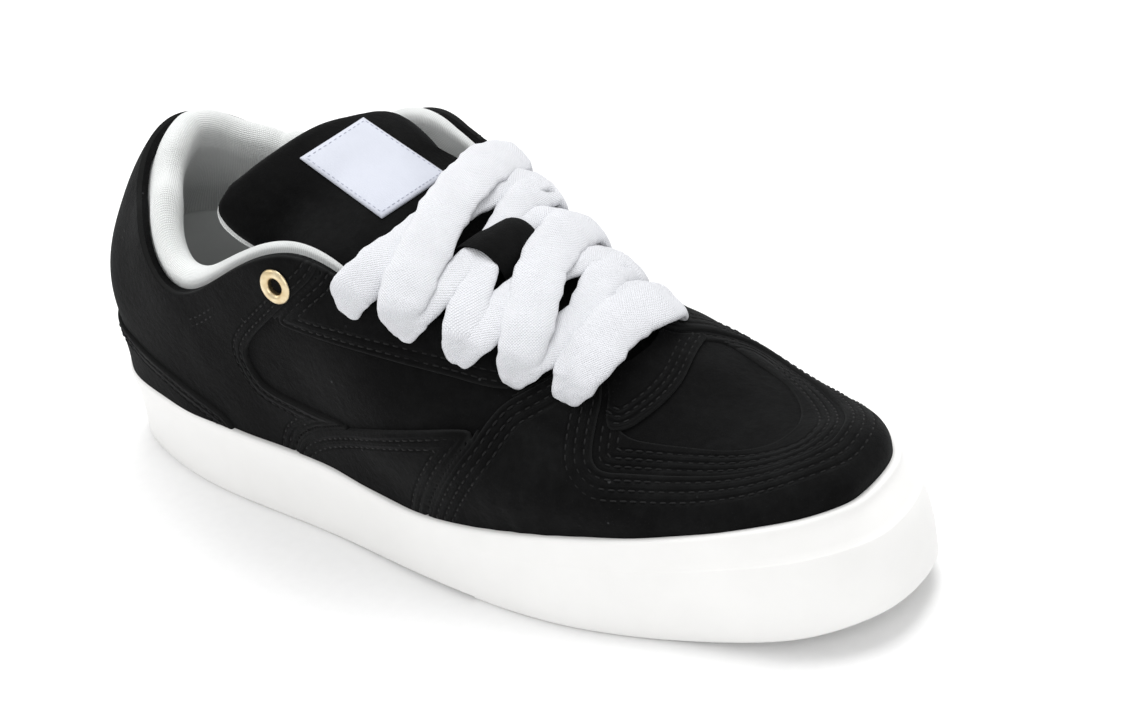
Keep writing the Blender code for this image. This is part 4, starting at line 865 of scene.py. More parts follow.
# Seams of the strip follow its front edge only.
front = np.array(stripPlan[4:12]) * [shoe["length"], shoe["ballWidth"] / 2] - [half, 0]
front = np.concatenate([front, [[front[-1, 0] - 0.05, front[-1, 1]], [front[0, 0] - 0.05, front[0, 1]]]])
seamFields = {key: fields[key] for key in seamRows}
seamFields["band"] = fields["capTop"]
seamFields["strip"] = surfaceField(fine, insideBy(fine["points"][..., :2], rounded(front)))
panelMaterials = {key: suedeMaterial(key + "Suede", rows) for key, rows in seamRows.items()}
nodeOf = {"cap": "toe_cap", "band": "toe_band", "strip": "throat_strip", "quarter": "quarter",
          "counter": "heel_counter"}
for key in ("band", "strip", "quarter", "cap", "counter"):
    made = cutLayer(key + "Panel", fine, np.minimum(under[key], holes), panelHeights[key],
                    [panelMaterials[key]], bend=slackness, seamField=seamFields[key])
    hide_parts(nodeOf[key])
for key, node in (("stay", "eyestay"), ("arch", "arch_panel")):
    for sideName, inner in (("outer", False), ("inner", True)):
        mask = np.where(sideOnly(inner), np.minimum(under[key], holes), -0.01)
        made = cutLayer(key + "Panel" + sideName.title(), fine, mask, panelHeights[key],
                        [panelMaterials[key]], bend=slackness, seamField=seamFields[key])
        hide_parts(node + "_" + sideName)
print("panels done")


# Stitches.
stitchSize = {"pitch": 0.0031, "length": 0.0023, "radius": 0.00030, "rise": 0.00016, "sides": 5}


class Stitches:
    def __init__(self, name, look, slotName, **size):
        self.name, self.look, self.slotName = name, look, slotName
        self.size = {**stitchSize, **size}
        self.points, self.faces, self.count = [], [], 0

    # Small thread loops along a line that lies on a surface.
    def follow(self, places, ways, lift, keep=None):
        size = self.size
        run = runOf(places)
        total = int(run[-1] / size["pitch"])
        if total < 1:
            return
        pitch = run[-1] / total
        at = lambda s: np.array([np.interp(s, run, places[:, k]) for k in range(3)])
        up = lambda s: np.array([np.interp(s, run, ways[:, k]) for k in range(3)])
        for n in range(total):
            middle = (n + 0.5) * pitch
            centre, way = at(middle), up(middle)
            if keep is not None and not keep(centre):
                continue
            way = way / np.linalg.norm(way)
            first, last = at(middle - size["length"] / 2), at(middle + size["length"] / 2)
            along = (last - first) / max(np.linalg.norm(last - first), 1e-9)
            across = np.cross(way, along)
            sides = size["sides"]
            rings = []
            for share, thin, high in ((-1, 0.45, -0.9), (-0.55, 1.0, 0.35), (0.55, 1.0, 0.35), (1, 0.45, -0.9)):
                spine = centre + (last - first) * share / 2 + way * (lift + size["rise"] * high)
                for k in range(sides):
                    turn = 2 * math.pi * k / sides
                    spoke = across * math.cos(turn) + way * math.sin(turn) * 0.8
                    rings.append(spine + spoke * size["radius"] * thin)
            base = self.count
            self.points += rings
            self.faces += [tuple(base + n for n in f) for f in ringFaces(4, sides)]
            self.faces += [tuple(range(base, base + sides))[::-1], tuple(range(base + 3 * sides, base + 4 * sides))]
            self.count += 4 * sides

    def finish(self):
        made = meshPiece(self.name, self.points, self.faces, [self.look], sharp=80)
        return facingOut(made)


def nearest(grid, field):
    flatPoints = grid["points"][::2, ::2].reshape(-1, 3)
    flatField = field[::2, ::2].reshape(-1)
    return lambda p: flatField[np.argmin(((flatPoints - p) ** 2).sum(1))]


covered = {key: nearest(fine, fields[key]) for key in ("cap", "quarter", "arch", "strip", "counter", "vamp")}
holesNear = nearest(fine, holeField(fine))
ringsAway = lambda p: holesNear(p) > 0.0012
tests = {
    "cap": lambda p: p[2] > 0 and ringsAway(p),
    "band": lambda p: covered["strip"](p) < -0.0008 and covered["vamp"](p) < -0.0006,
    "strip": lambda p: ringsAway(p) and covered["strip"](p) > 0.0010,
    "stay": lambda p: covered["cap"](p) < 0.0005 and covered["quarter"](p) < 0.0004 and ringsAway(p),
    "quarter": lambda p: covered["arch"](p) < -0.0035 and covered["counter"](p) < 0 and ringsAway(p),
    "arch": lambda p: covered["cap"](p) < 0.0004,
    "counter": lambda p: True,
}
seams = Stitches("suedeStitches", blackThread, "black_suede")
for key, rows in seamRows.items():
    field = seamFields[key]
    for row in rows:
        for places, ways in fieldLines(fine, field, row):
            seams.follow(places, ways, panelHeights[key][1] - 0.00005, tests[key])
# Quilting under the collar and the short bar tack. Its points are stations and depths below the topline.
quilting = {"rows": (0.0090, 0.0116), "from": 1.7, "to": 3.9, "points": 40, "drop": 0.006,
            "tack": ((4.20, 0.0155), (4.24, 0.018), (4.30, 0.0215))}
for below in quilting["rows"]:
    for inner in (False, True):
        stations = np.linspace(quilting["from"], quilting["to"], quilting["points"])
        run = (stations - quilting["from"]) / 2.2
        around = roundStations - stations if inner else stations
        places = np.array([wallPlace(u, below + quilting["drop"] * (1 - t), 0.0) for u, t in zip(around, run)])
        ways = outNormal(around, np.full(len(around), 0.9))
        seams.follow(places, ways, panelHeights["quarter"][1])
tack = np.array([wallPlace(u, below, 0.0) for u, below in quilting["tack"]])
tackStations = np.array([u for u, below in quilting["tack"]])
seams.follow(tack, outNormal(tackStations, np.full(len(tack), 0.9)), panelHeights["quarter"][1])
allSeams = seams.finish()
print("stitches", allSeams.name, len(allSeams.data.polygons))


# Sole.
soleParts = {
    "rim": 0.0036, "step": 0.0005, "foot": 0.0024, "spring": 0.010, "bevel": 0.0012, "columns": 420,
    "springFrom": 0.76, "bevelTo": 0.05, "archFrom": 0.34, "archTo": 0.575, "archDepth": 0.0018,
}
tread = {"depth": 0.0014, "width": 0.0016, "pitch": 0.0085, "zig": 0.012, "swing": 0.0035, "margin": 0.010,
         "areas": ((0.60, 0.82), (0.04, 0.31))}


def groundAt(u):
    along = (lastAt("outline", u)[..., 0] + shoe["length"] / 2) / shoe["length"]
    toe = soleParts["spring"] * np.clip((along - soleParts["springFrom"]) / 0.24, 0, 1) ** 1.8
    return toe + soleParts["bevel"] * np.clip((soleParts["bevelTo"] - along) / soleParts["bevelTo"], 0, 1)


def stationAt(share, inner=False):
    stations = np.linspace(0, toeStation, 1301)
    stations = roundStations - stations if inner else stations
    return float(np.interp(share * shoe["length"], lastAt("outline", stations)[:, 0] + shoe["length"] / 2, stations))


def makeSole(look):
    side = np.linspace(0, toeStation, soleParts["columns"] // 2 + 1)
    u = np.concatenate([side, roundStations - side[-2:0:-1]])
    lip, line, low = lastAt("lip", u), lastAt("line", u), groundAt(u)
    tall, wide, rim = line - low, lip - soleParts["rim"], soleParts["rim"]
    bumper = np.clip((lip / shoe["lip"] - 0.9) / 0.6, 0, 1) * soleParts["step"]
    none, foot = np.zeros_like(u), soleParts["foot"]
    profile = [(foot + none, low)]
    profile += [(foot * (1 - math.sin(a)) + none, low + foot * (1 - math.cos(a))) for a in (0.3, 0.65, 1.0, 1.3)]
    lower = ((0, 0.22), (0, 0.34), (0.10, 0.54), (0.26, 0.72))
    profile += [(wide * inset, low + tall * share) for inset, share in lower]
    profile += [(wide * 0.27 + bumper * 0.2, low + tall * 0.726), (wide * 0.29 + bumper, low + tall * 0.737)]
    for share in (0.2, 0.45, 0.7, 0.9):
        height = low + tall * 0.745 + (line - 0.0022 - low - tall * 0.745) * share
        profile.append((wide * (0.30 + 0.58 * share) + bumper * (1 - share), height))
    for a in (0.0, 0.35, 0.7, 1.05, 1.4):
        profile.append((wide * 0.88 + 0.0002 + 0.0014 * (1 - math.cos(a)), line - 0.0015 + 0.0015 * math.sin(a)))
    profile += [(wide * 0.88 + rim * 0.6, line), (lip - 0.0008, line - 0.0001), (lip - 0.0002, line - 0.0005),
                (lip, line - 0.0012)]
    profile += [(lip, lastAt("floor", u))]
    rings = [np.concatenate([planEdge(u, inset), height[:, None]], -1) for inset, height in profile]
    count, rows = len(u), len(rings)
    faces = ringFaces(rows, count)
    for start, flip in ((0, True), ((rows - 1) * count, False)):
        for j in range(count // 2):
            face = [start + j, start + j + 1, start + (count - j - 1) % count, start + (count - j) % count]
            face = [n for i, n in enumerate(face) if n not in face[:i]]
            faces.append(tuple(face[::-1]) if flip else tuple(face))
    made = meshPiece("cupSole", np.concatenate(rings), faces, [look], sharp=42)
    for cutter in (archCutter(), treadCutter()):
        cut = made.modifiers.new("cut", "BOOLEAN")
        cut.operation, cut.solver, cut.object = "DIFFERENCE", "EXACT", cutter
        bpy.context.view_layer.objects.active = made
        bpy.ops.object.modifier_apply(modifier=cut.name)
        bpy.data.objects.remove(cutter, do_unlink=True)
    made.data.shade_smooth()
    made.data.set_sharp_from_angle(angle=math.radians(35))
    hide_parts("cup_sole")
    return made


def cutterObject(name, points, faces):
    mesh = bpy.data.meshes.new(name)
    mesh.from_pydata(points, [], faces)
    made = bpy.data.objects.new(name, mesh)
    bpy.context.scene.collection.objects.link(made)
    return facingOut(made)


def archCutter():
    x0, x1 = (soleParts[key] * shoe["length"] - half for key in ("archFrom", "archTo"))
    deep = soleParts["archDepth"]
    outline = [(x0, -0.004), (x1, -0.004), (x1, deep)]
    for t in np.linspace(1, 0, 15):
        outline.append((x0 + (x1 - x0) * 0.93 * t, deep * math.sin(t * math.pi / 2) - (0.0004 if t == 0 else 0)))
    count = len(outline)
    points = [(x, y, z) for y in (-0.08, 0.08) for x, z in outline]
    faces = [tuple(range(count)), tuple(range(count, 2 * count))]
    faces += [(i, (i + 1) % count, count + (i + 1) % count, count + i) for i in range(count)]
    return cutterObject("archCutter", points, faces)


def treadCutter():
    points, faces = [], []
    for first, last in tread["areas"]:
        for row in range(int((last - first) * shoe["length"] / tread["pitch"]) + 1):
            x = first * shoe["length"] - half + row * tread["pitch"]
            share = (x + half) / shoe["length"]
            station = stationAt(share)
            outer, inner = lastAt("outline", station)[1], lastAt("outline", stationAt(share, True))[1]
            zigs = max(3, int((inner - outer - 2 * tread["margin"]) / (tread["zig"] / 2)))
            top = tread["depth"] + float(groundAt(np.array([station]))[0])
            base = len(points)
            for i, y in enumerate(np.linspace(outer + tread["margin"], inner - tread["margin"], zigs + 1)):
                near = x + (tread["swing"] if i % 2 else 0)
                far = near + tread["width"]
                points += [(near, y, -0.003), (far, y, -0.003), (far, y, top), (near, y, top)]
            for i in range(zigs):
                a, b = base + 4 * i, base + 4 * (i + 1)
                faces += [(a + k, a + (k + 1) % 4, b + (k + 1) % 4, b + k) for k in range(4)]
            faces += [(base, base + 3, base + 2, base + 1), tuple(base + 4 * zigs + k for k in range(4))]
    return cutterObject("treadCutter", points, faces)


sole = makeSole(rubberMaterial())
print("sole", len(sole.data.polygons))


# Insole.
insoleShape = {"inset": 0.0012, "thick": 0.0036, "hollow": 0.0008, "edge": 0.0016, "rows": 121, "columns": 27}


# Faces of a sheet of two grids, one over the other, shut along its edges.
def sheetFaces(rows, columns):
    number = rows * columns
    faces = ringFaces(rows, columns, False)
    faces += [tuple(n + number for n in face[::-1]) for face in faces]
    owners = {(a, b) for face in faces[: len(faces) // 2] for a, b in zip(face, face[1:] + face[:1])}
    return faces + [(b, a, a + number, b + number) for a, b in sorted(owners) if (b, a) not in owners]


def makeInsole():
    side = np.linspace(0, toeStation, insoleShape["rows"])
    tops, unders = [], []
    across = np.linspace(-1, 1, insoleShape["columns"])
    for u in side:
        both = np.array([u, roundStations - u])
        a, b = planEdge(both, lastAt("lip", both) + shoe["wall"] + insoleShape["inset"])
        floor = float(lastAt("floor", u)) + shoe["gap"]
        middle, spread = (a + b) / 2, (b - a) / 2
        for share in across:
            bent = math.copysign(1 - (1 - abs(share)) ** 1.6, share)
            spot = middle + spread * bent
            hollow = insoleShape["hollow"] * (1 - bent**2) + insoleShape["edge"] * max(0, abs(bent) - 0.97) / 0.03
            tops.append((*spot, floor + insoleShape["thick"] - hollow))
            unders.append((*spot, floor))
    points = np.array(tops + unders)
    faces = sheetFaces(len(side), len(across))
    made = meshPiece("footbed", points, faces, [greyFootbed], uvs=points[:, :2] * 100)
    facingOut(made)
    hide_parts("insole")
    return made


makeInsole()


# Padded collar.
collarPad = {
    "pad": 0.0105, "depth": 0.60, "rise": 0.0105, "end": 5.55,
    "padAt": ((0.0, 1.00), (2.0, 1.00), (3.4, 0.90), (4.3, 0.55), (5.0, 0.30), (5.6, 0.20)),
    "riseAt": ((0.0, 1.00), (1.5, 0.88), (2.6, 0.77), (3.4, 0.51), (4.3, 0.34), (5.0, 0.26), (5.6, 0.19)),
    # up the wall from the topline, and inward
    "profile": ((-1.00, 0.00), (-0.50, 0.00), (-0.04, 0.00), (0.12, -0.04), (0.55, -0.08), (0.92, 0.14),
                (1.00, 0.42), (0.80, 0.76), (0.25, 0.98), (-0.25, 1.00), (-0.62, 0.80), (-1.00, 0.15)),
    "around": 52, "columns": 260,
}


def makeCollar():
    rings = []
    profile = np.array(collarPad["profile"])
    fineProfile = through(profile, collarPad["around"], closed=True)
    for u in np.linspace(-collarPad["end"], collarPad["end"], collarPad["columns"]):
        rim = float(rimAngle(u))
        angles = np.linspace(0, rim, 33)
        wall = section(np.full(33, u), angles)
        run = runOf(wall)
        up = (wall[-1] - wall[-3]) / np.linalg.norm(wall[-1] - wall[-3])
        out = outNormal(np.array([u]), np.array([rim]))[0]
        pad = collarPad["pad"] * np.interp(abs(u), *zip(*collarPad["padAt"]))
        rise = collarPad["rise"] * np.interp(abs(u), *zip(*collarPad["riseAt"]))
        skin = shoe["wall"] + 2.5 * shoe["gap"]
        closing = min(1.0, (collarPad["end"] - abs(u)) / 0.12)  # the flap's end is rounded shut
        size = math.sqrt(max(0.04, 1 - (1 - closing) ** 2))
        ring = []
        for along, depth in fineProfile:
            offset = -(skin + max(depth, -0.08) * pad * size)
            if along > 0:
                ring.append(wall[-1] + up * rise * along * size + out * offset)
                continue
            angle = np.interp((1 + along * collarPad["depth"]) * run[-1], run, angles)
            ring.append(section(np.array([u]), np.array([angle]), np.array([offset]))[0])
        rings.append(ring)
    made = lofted("collarPadding", rings, [whiteLining], sharp=75)
    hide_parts("collar_lining")
    return made


makeCollar()
print("collar done")


# Tongue.
tongueShape = {
    "skin": 0.0014, "padding": 0.0060, "tuck": 0.011, "columns": 49, "rows": 96,
    "front": ((8.35, 0.012), (8.00, 0.016)),
    # station, then the middle's place: shares of the length and of the instep's height
    "tucked": ((7.60, 0.660, 0.715), (7.20, 0.615, 0.780), (6.70, 0.560, 0.865), (6.20, 0.505, 0.945),
               (5.65, 0.450, 1.020), (5.15, 0.405, 1.080)),
    # five points across each row: shares of the length, half ball width and instep
    "free": (
        ((0.3, -0.63, 0.945), (0.338, -0.43, 1.08), (0.362, 0, 1.13), (0.368, 0.4, 1.085), (0.384, 0.5, 0.985)),
        ((0.27, -0.69, 1.02), (0.304, -0.45, 1.138), (0.33, 0, 1.172), (0.341, 0.4, 1.13), (0.358, 0.52, 1.05)),
        ((0.256, -0.69, 1.092), (0.281, -0.45, 1.17), (0.303, 0, 1.207), (0.315, 0.4, 1.157), (0.329, 0.54, 1.09)),
        ((0.258, -0.58, 1.145), (0.271, -0.36, 1.188), (0.29, 0, 1.217), (0.301, 0.32, 1.172), (0.31, 0.52, 1.11)),
    ),
    "padAlong": ((0.0, 0.30), (0.25, 0.40), (0.55, 0.80), (0.75, 1.00), (0.95, 1.00), (1.0, 0.75)),
}


def overCrest(u, across, lift):
    angles = np.linspace(math.pi / 2, 0, 61)
    run = runOf(section(np.full(61, u), angles))
    angle = np.interp(abs(across), run, angles)
    return section(np.array([u if across <= 0 else roundStations - u]), np.array([angle]), np.array([lift]))[0]


def tongueGrid(rows, columns):
    controls = []
    for u, wide in tongueShape["front"]:
        controls.append([overCrest(u, wide * k, -(shoe["wall"] + 6 * shoe["gap"])) for k in (-1, -0.5, 0, 0.5, 1)])
    for u, along, height in tongueShape["tucked"]:
        centre = np.array([along * shoe["length"] - half, float(lastAt("axis", u)[1]), height * shoe["instep"]])
        pad = collarPad["pad"] * np.interp(u, *zip(*collarPad["padAt"])) if u < collarPad["end"] + 0.25 else 0
        inside = -(shoe["wall"] + 1.3 * pad + (12 if pad else 8) * shoe["gap"])
        mate = roundStations - u
        controls.append([wallPlace(u, tongueShape["tuck"], inside - 0.0006), wallPlace(u, 0.0012, inside), centre,
                         wallPlace(mate, 0.0012, inside), wallPlace(mate, tongueShape["tuck"], inside - 0.0006)])
    scale = [shoe["length"], shoe["ballWidth"] / 2, shoe["instep"]]
    controls += [np.array(row) * scale - np.array([half, 0, 0]) for row in tongueShape["free"]]
    controls = np.array(controls)
    lengthwise = np.stack([through(controls[:, k], rows) for k in range(5)], 1)
    grid = np.array([through(row, columns) for row in lengthwise])
    out = np.cross(np.gradient(grid, axis=1), np.gradient(grid, axis=0))
    out /= np.linalg.norm(out, axis=-1, keepdims=True)
    for _ in range(6):
        for axis in (0, 1):
            padded = np.take(out, [0, *range(out.shape[axis]), out.shape[axis] - 1], axis)
            count = out.shape[axis]
            out = sum(np.take(padded, range(k, k + count), axis) * w for k, w in ((0, 0.25), (1, 0.5), (2, 0.25)))
        out /= np.linalg.norm(out, axis=-1, keepdims=True)
    return grid, (-out if out[rows // 2, columns // 2, 2] < 0 else out)


# A closed sheet between two depths under a grid, with rounded long edges.
def sheetPiece(name, grid, out, high, low, looks):
    rows, columns = grid.shape[:2]
    tops = (grid - out * high[..., None]).reshape(-1, 3)
    unders = (grid - out * low[..., None]).reshape(-1, 3)
    lengths = np.concatenate([np.zeros((1, columns)), np.cumsum(np.linalg.norm(np.diff(grid, axis=0), axis=2), 0)])
    widths = np.concatenate([np.zeros((rows, 1)), np.cumsum(np.linalg.norm(np.diff(grid, axis=1), axis=2), 1)], 1)
    uvs = np.stack([widths, lengths], -1).reshape(-1, 2) * 100
    made = meshPiece(name, np.concatenate([tops, unders]), sheetFaces(rows, columns), looks,
                     uvs=np.concatenate([uvs, uvs]), sharp=70)
    return facingOut(made)


tongueTop, tongueOut = tongueGrid(tongueShape["rows"], tongueShape["columns"])
edgeShare = np.abs(np.linspace(-1, 1, tongueShape["columns"]))[None]
alongShare = np.linspace(0, 1, tongueShape["rows"])[:, None]
sideRound = 0.0008 * np.clip((edgeShare - 0.94) / 0.06, 0, 1) ** 2
skinTop = sideRound + 0.0008 * np.clip((alongShare - 0.975) / 0.025, 0, 1) ** 2
skinLow = np.maximum(tongueShape["skin"] + 0 * skinTop, skinTop + 0.0003)
tongue = sheetPiece("tongueSuede", tongueTop, tongueOut, skinTop, skinLow, [plainSuede])
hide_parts("tongue")
fade = np.interp(alongShare[:, 0], *zip(*tongueShape["padAlong"]))[:, None]
puff = tongueShape["padding"] * fade * (1 - 0.6 * edgeShare**3) * np.sqrt(np.clip(1.02 - edgeShare**8, 0.04, 1))
away = np.gradient(tongueTop, axis=1)
away /= np.linalg.norm(away, axis=-1, keepdims=True)
outerEdge = np.clip((-np.linspace(-1, 1, tongueShape["columns"]) - 0.9) / 0.1, 0, 1)[None]
free = np.clip((alongShare - 0.55) / 0.08, 0, 1) * np.clip((0.97 - alongShare) / 0.05, 0, 1)
wider = tongueTop - away * (0.0014 * outerEdge * free)[..., None]
liningTop = np.full_like(puff, tongueShape["skin"] + 0.00045) - 0.0009 * outerEdge**4 * free
tongueFoam = sheetPiece("tonguePadding", wider, tongueOut, liningTop, tongueShape["skin"] + 0.00045 + puff,
                        [whiteLining])
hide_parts("tongue_lining")
print("tongue done")


# Points over the tongue at shares of its length and width.
def onTongue(rows, columns, lift):
    places = np.empty((len(rows), len(columns), 3))
    ways = np.empty_like(places)
    for a, r in enumerate(rows):
        for b, c in enumerate(columns):
            i, j = r * (len(tongueTop) - 1), (c + 1) / 2 * (tongueShape["columns"] - 1)
            i0, j0 = min(int(i), len(tongueTop) - 2), min(int(j), tongueShape["columns"] - 2)
            s, t = i - i0, j - j0
            mix = ((1 - s) * (1 - t), (1 - s) * t, s * (1 - t), s * t)
            spots = ((i0, j0), (i0, j0 + 1), (i0 + 1, j0), (i0 + 1, j0 + 1))
            places[a, b] = sum(w * tongueTop[k] for w, k in zip(mix, spots))
            way = sum(w * tongueOut[k] for w, k in zip(mix, spots))
            ways[a, b] = way / np.linalg.norm(way)
    return places + ways * (lift[..., None] if isinstance(lift, np.ndarray) else lift), ways


# The label's corners in the camera's frame, of 1125 by 720: heel outer, toe outer, toe inner, heel inner.
labelPatch = {"corners": ((300, 159), (382, 219), (447, 176), (363, 119)), "thick": 0.0009, "seam": 0.045,
              "along": 40, "across": 34, "fromRow": 40, "spread": 6.0, "lift": 0.0003}
keeperLoop = {"rows": (0.405, 0.545), "columns": (-0.20, 0.22), "thick": 0.0014, "hump": 0.0112, "along": 34,
              "across": 12}


# Points on the tongue's top that the camera sees at places of its frame.
def overTongue(seen, lift):
    flat = seen.reshape(-1, 2)
    top, out = (grid[labelPatch["fromRow"]:].reshape(-1, 3) for grid in (tongueTop, tongueOut))
    marks = inFrame(top)
    places, ways = np.empty((len(flat), 3)), np.empty((len(flat), 3))
    for n, spot in enumerate(flat):
        away = marks - spot
        share = np.sqrt(np.exp(-(away**2).sum(1) / (2 * labelPatch["spread"]**2)))[:, None]
        second = np.concatenate([away**2 * 0.1, away[:, :1] * away[:, 1:] * 0.1], 1)
        terms = np.concatenate([np.ones((len(away), 1)), away, second], 1) * share
        fit = np.linalg.lstsq(terms, np.concatenate([top, out], 1) * share, rcond=None)[0][0]
        places[n], ways[n] = fit[:3], fit[3:] / np.linalg.norm(fit[3:])
    shape = (*seen.shape[:-1], 3)
    return places.reshape(shape) + ways.reshape(shape) * lift, ways.reshape(shape)


def labelSpots(alongShares, acrossShares):
    a, b, c, d = (np.array(corner) for corner in labelPatch["corners"])
    s, t = np.asarray(alongShares)[..., None], np.asarray(acrossShares)[..., None]
    return (a * (1 - s) + b * s) * (1 - t) + (d * (1 - s) + c * s) * t


def makeLabel():
    rows, columns = labelPatch["along"], labelPatch["across"]
    s, t = np.meshgrid(np.linspace(0, 1, rows), np.linspace(0, 1, columns), indexing="ij")
    places, ways = overTongue(labelSpots(s, t), labelPatch["lift"])
    border = np.minimum(np.minimum(s, 1 - s), np.minimum(t, 1 - t))
    top = labelPatch["thick"] - 0.0004 * (border <= 0) - 0.0001 * (border < 0.03)
    made = sheetPiece("tongueLabel", places, ways, -top, np.zeros_like(top) + 0.0002, [labelCloth])
    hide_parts("tongue_label")
    sewn = Stitches("labelStitches", paleThread, "label_white", pitch=0.0019, length=0.0013,
                    radius=0.00017, rise=0.0001)
    low, high = labelPatch["seam"], 1 - labelPatch["seam"]
    corners = ((low, low), (low, high), (high, high), (high, low))
    for first, last in zip(corners, corners[1:] + corners[:1]):
        line = np.linspace(first, last, 20)
        spots, outs = overTongue(labelSpots(line[:, 0], line[:, 1]), labelPatch["lift"])
        sewn.follow(spots, outs, labelPatch["thick"])
    sewn.finish()


def makeKeeper():
    along, across = keeperLoop["along"], keeperLoop["across"]
    rows, columns = np.linspace(*keeperLoop["rows"], along), np.linspace(*keeperLoop["columns"], across)
    hump = keeperLoop["hump"] * np.clip(np.sin(math.pi * np.linspace(0, 1, along)), 0, 1) ** 0.55
    places, ways = onTongue(rows, columns, np.repeat(hump[:, None], across, 1))
    thick = np.full((along, across), keeperLoop["thick"])
    thick[:, [0, -1]] -= 0.0005
    made = sheetPiece("laceKeeper", places, ways, -thick, np.zeros_like(thick) - 0.0002, [plainSuede])
    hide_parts("lace_keeper")


makeLabel()
makeKeeper()


# Laces.
laceSize = {
    "width": 0.0158, "thick": 0.0044, "ground": 0.0038, "endGround": 0.0022, "overTongue": 0.0008, "steps": 84,
    "sides": 28,
    # toward the heel, in stations
    "drift": ((0.10, 0.35, 0.60, 0.76, 0.86, 0.93), (0.02, -0.01, -0.13, -0.21, -0.17, -0.07)),
    "taper": ((0, 0.003, 0.006, 0.010, 0.016, 0.024), (0.34, 0.42, 0.58, 0.78, 0.93, 1.0)),
}
# outer hole, inner hole, lift over the strands below, narrowing in the middle, share of the drift, width
laceRuns = (
    (4, 4, 0.0030, 0.00, 0.10, 1.10), (3, 4, 0.0002, 0.20, 0.45, 0.95), (4, 3, 0.0006, 0.20, 0.80, 1.00),
    (3, 2, 0.0032, 0.05, 0.90, 1.05), (2, 3, 0.0004, 0.25, 0.80, 0.98), (1, 2, 0.0003, 0.45, 0.90, 0.98),
    (2, 1, 0.0010, 0.45, 0.90, 0.98), (1, 0, 0.0032, 0.05, 0.90, 1.05), (0, 1, 0.0004, 0.15, 0.90, 1.00),
)


def laceArch(u, lift):
    table = np.array(tongueShape["tucked"])[::-1]
    along, height = np.interp(u, table[:, 0], table[:, 1]), np.interp(u, table[:, 0], table[:, 2])
    centre = np.array([along * shoe["length"] - half, float(lastAt("axis", u)[1]), height * shoe["instep"]])
    mate = roundStations - u
    row = [eyeletPoint(u, lift), wallPlace(u, 0.001, lift),
           centre + np.array([0.35, 0, 0.94]) * (lift + laceSize["overTongue"]),
           wallPlace(mate, 0.001, lift), eyeletPoint(mate, lift)]
    return through(row, 33)


def lacePoint(u, side, lift):
    arch = laceArch(u, lift)
    place = (side + 1) / 2 * (len(arch) - 1)
    low = min(int(place), len(arch) - 2)
    return arch[low] * (low + 1 - place) + arch[low + 1] * (place - low)


def makeLace(number, near, far, lift, narrow, drift, wider):
    stations = eyeletRows["stations"]
    steps = np.linspace(0.085, 0.90, 25)
    path, outs = [], []
    for t in steps:
        u = stations[near] + (stations[far] - stations[near]) * t + drift * np.interp(t, *laceSize["drift"])
        bow = math.sin(math.pi * t)
        settle = min(1.0, min(t, 1 - t) / 0.26)
        settle = settle * settle * (3 - 2 * settle)
        ground = laceSize["endGround"] + (laceSize["ground"] - laceSize["endGround"]) * settle
        height = ground + laceSize["thick"] / 2 + lift * min(1, bow * 1.6)
        base, above = lacePoint(u, 2 * t - 1, height), lacePoint(u, 2 * t - 1, height + 0.002)
        path.append(base)
        outs.append((above - base) / np.linalg.norm(above - base))
    # Each end turns over and goes down its hole.
    for u, first in ((stations[near], True), (roundStations - stations[far], False)):
        hole, deep = eyeletPoint(u, 0.0012), eyeletPoint(u, -0.0035)
        way = path[0] - path[1] if first else path[-1] - path[-2]
        way = way / np.linalg.norm(way)
        up = (hole - deep) / np.linalg.norm(hole - deep)
        ends = [(hole - way * 0.0010 + up * 0.0016, way * 0.70 + up * 0.70),
                (hole + way * 0.0001 - up * 0.0008, way * 0.98 + up * 0.15),
                (hole - way * 0.0002 - up * 0.0026, way), (deep, way)]
        for spot, out in ends:
            place = 0 if first else len(path)
            path.insert(place, spot)
            outs.insert(place, out)
    both = through(np.concatenate([np.array(path), np.array(outs)], 1), laceSize["steps"])
    path, outs = both[:, :3], both[:, 3:]
    run = runOf(path)
    along = np.gradient(path, axis=0)
    along /= np.linalg.norm(along, axis=1, keepdims=True)
    across = np.cross(along, outs)
    across /= np.linalg.norm(across, axis=1, keepdims=True)
    up = np.cross(across, along)
    up *= np.sign((up * outs).sum(1, keepdims=True))
    rings = []
    shape = np.random.default_rng(40 + number)
    phases = shape.uniform(0, 6.28, 6)
    for k in range(len(path)):
        fromEnd = min(run[k], run[-1] - run[k])
        size = np.interp(fromEnd, *laceSize["taper"])
        t = run[k] / run[-1]
        lumps = 1 + 0.035 * math.sin(run[k] * 420 + phases[0]) + 0.03 * math.sin(run[k] * 910 + phases[1])
        wide = laceSize["width"] / 2 * wider * size * (1 - narrow * math.sin(math.pi * t) ** 2) * lumps
        tall = laceSize["thick"] / 2 * (1.05 - 0.1 * size) * (1 + 0.06 * math.sin(run[k] * 640 + phases[2]))
        roll = 0.12 * math.sin(run[k] * 95 + phases[3])
        a = across[k] * math.cos(roll) + up[k] * math.sin(roll)
        b = up[k] * math.cos(roll) - across[k] * math.sin(roll)
        ring = []
        for j in range(laceSize["sides"]):
            angle = 2 * math.pi * j / laceSize["sides"]
            c, s = math.cos(angle), math.sin(angle)
            flat, full = math.copysign(abs(c) ** 0.72, c), math.copysign(abs(s) ** 0.86, s)
            ribs = 1 + 0.045 * math.sin(run[k] * 1900 + j * 1.35 + phases[4])
            ring.append(path[k] + a * wide * flat + b * tall * full * ribs)
        rings.append(ring)
    return lofted(f"lace{number + 1}", rings, [laceCloth], sharp=80)


for number, values in enumerate(laceRuns):
    strand = makeLace(number, *values)
    if number == 0:
        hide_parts("laces")
print("laces done")


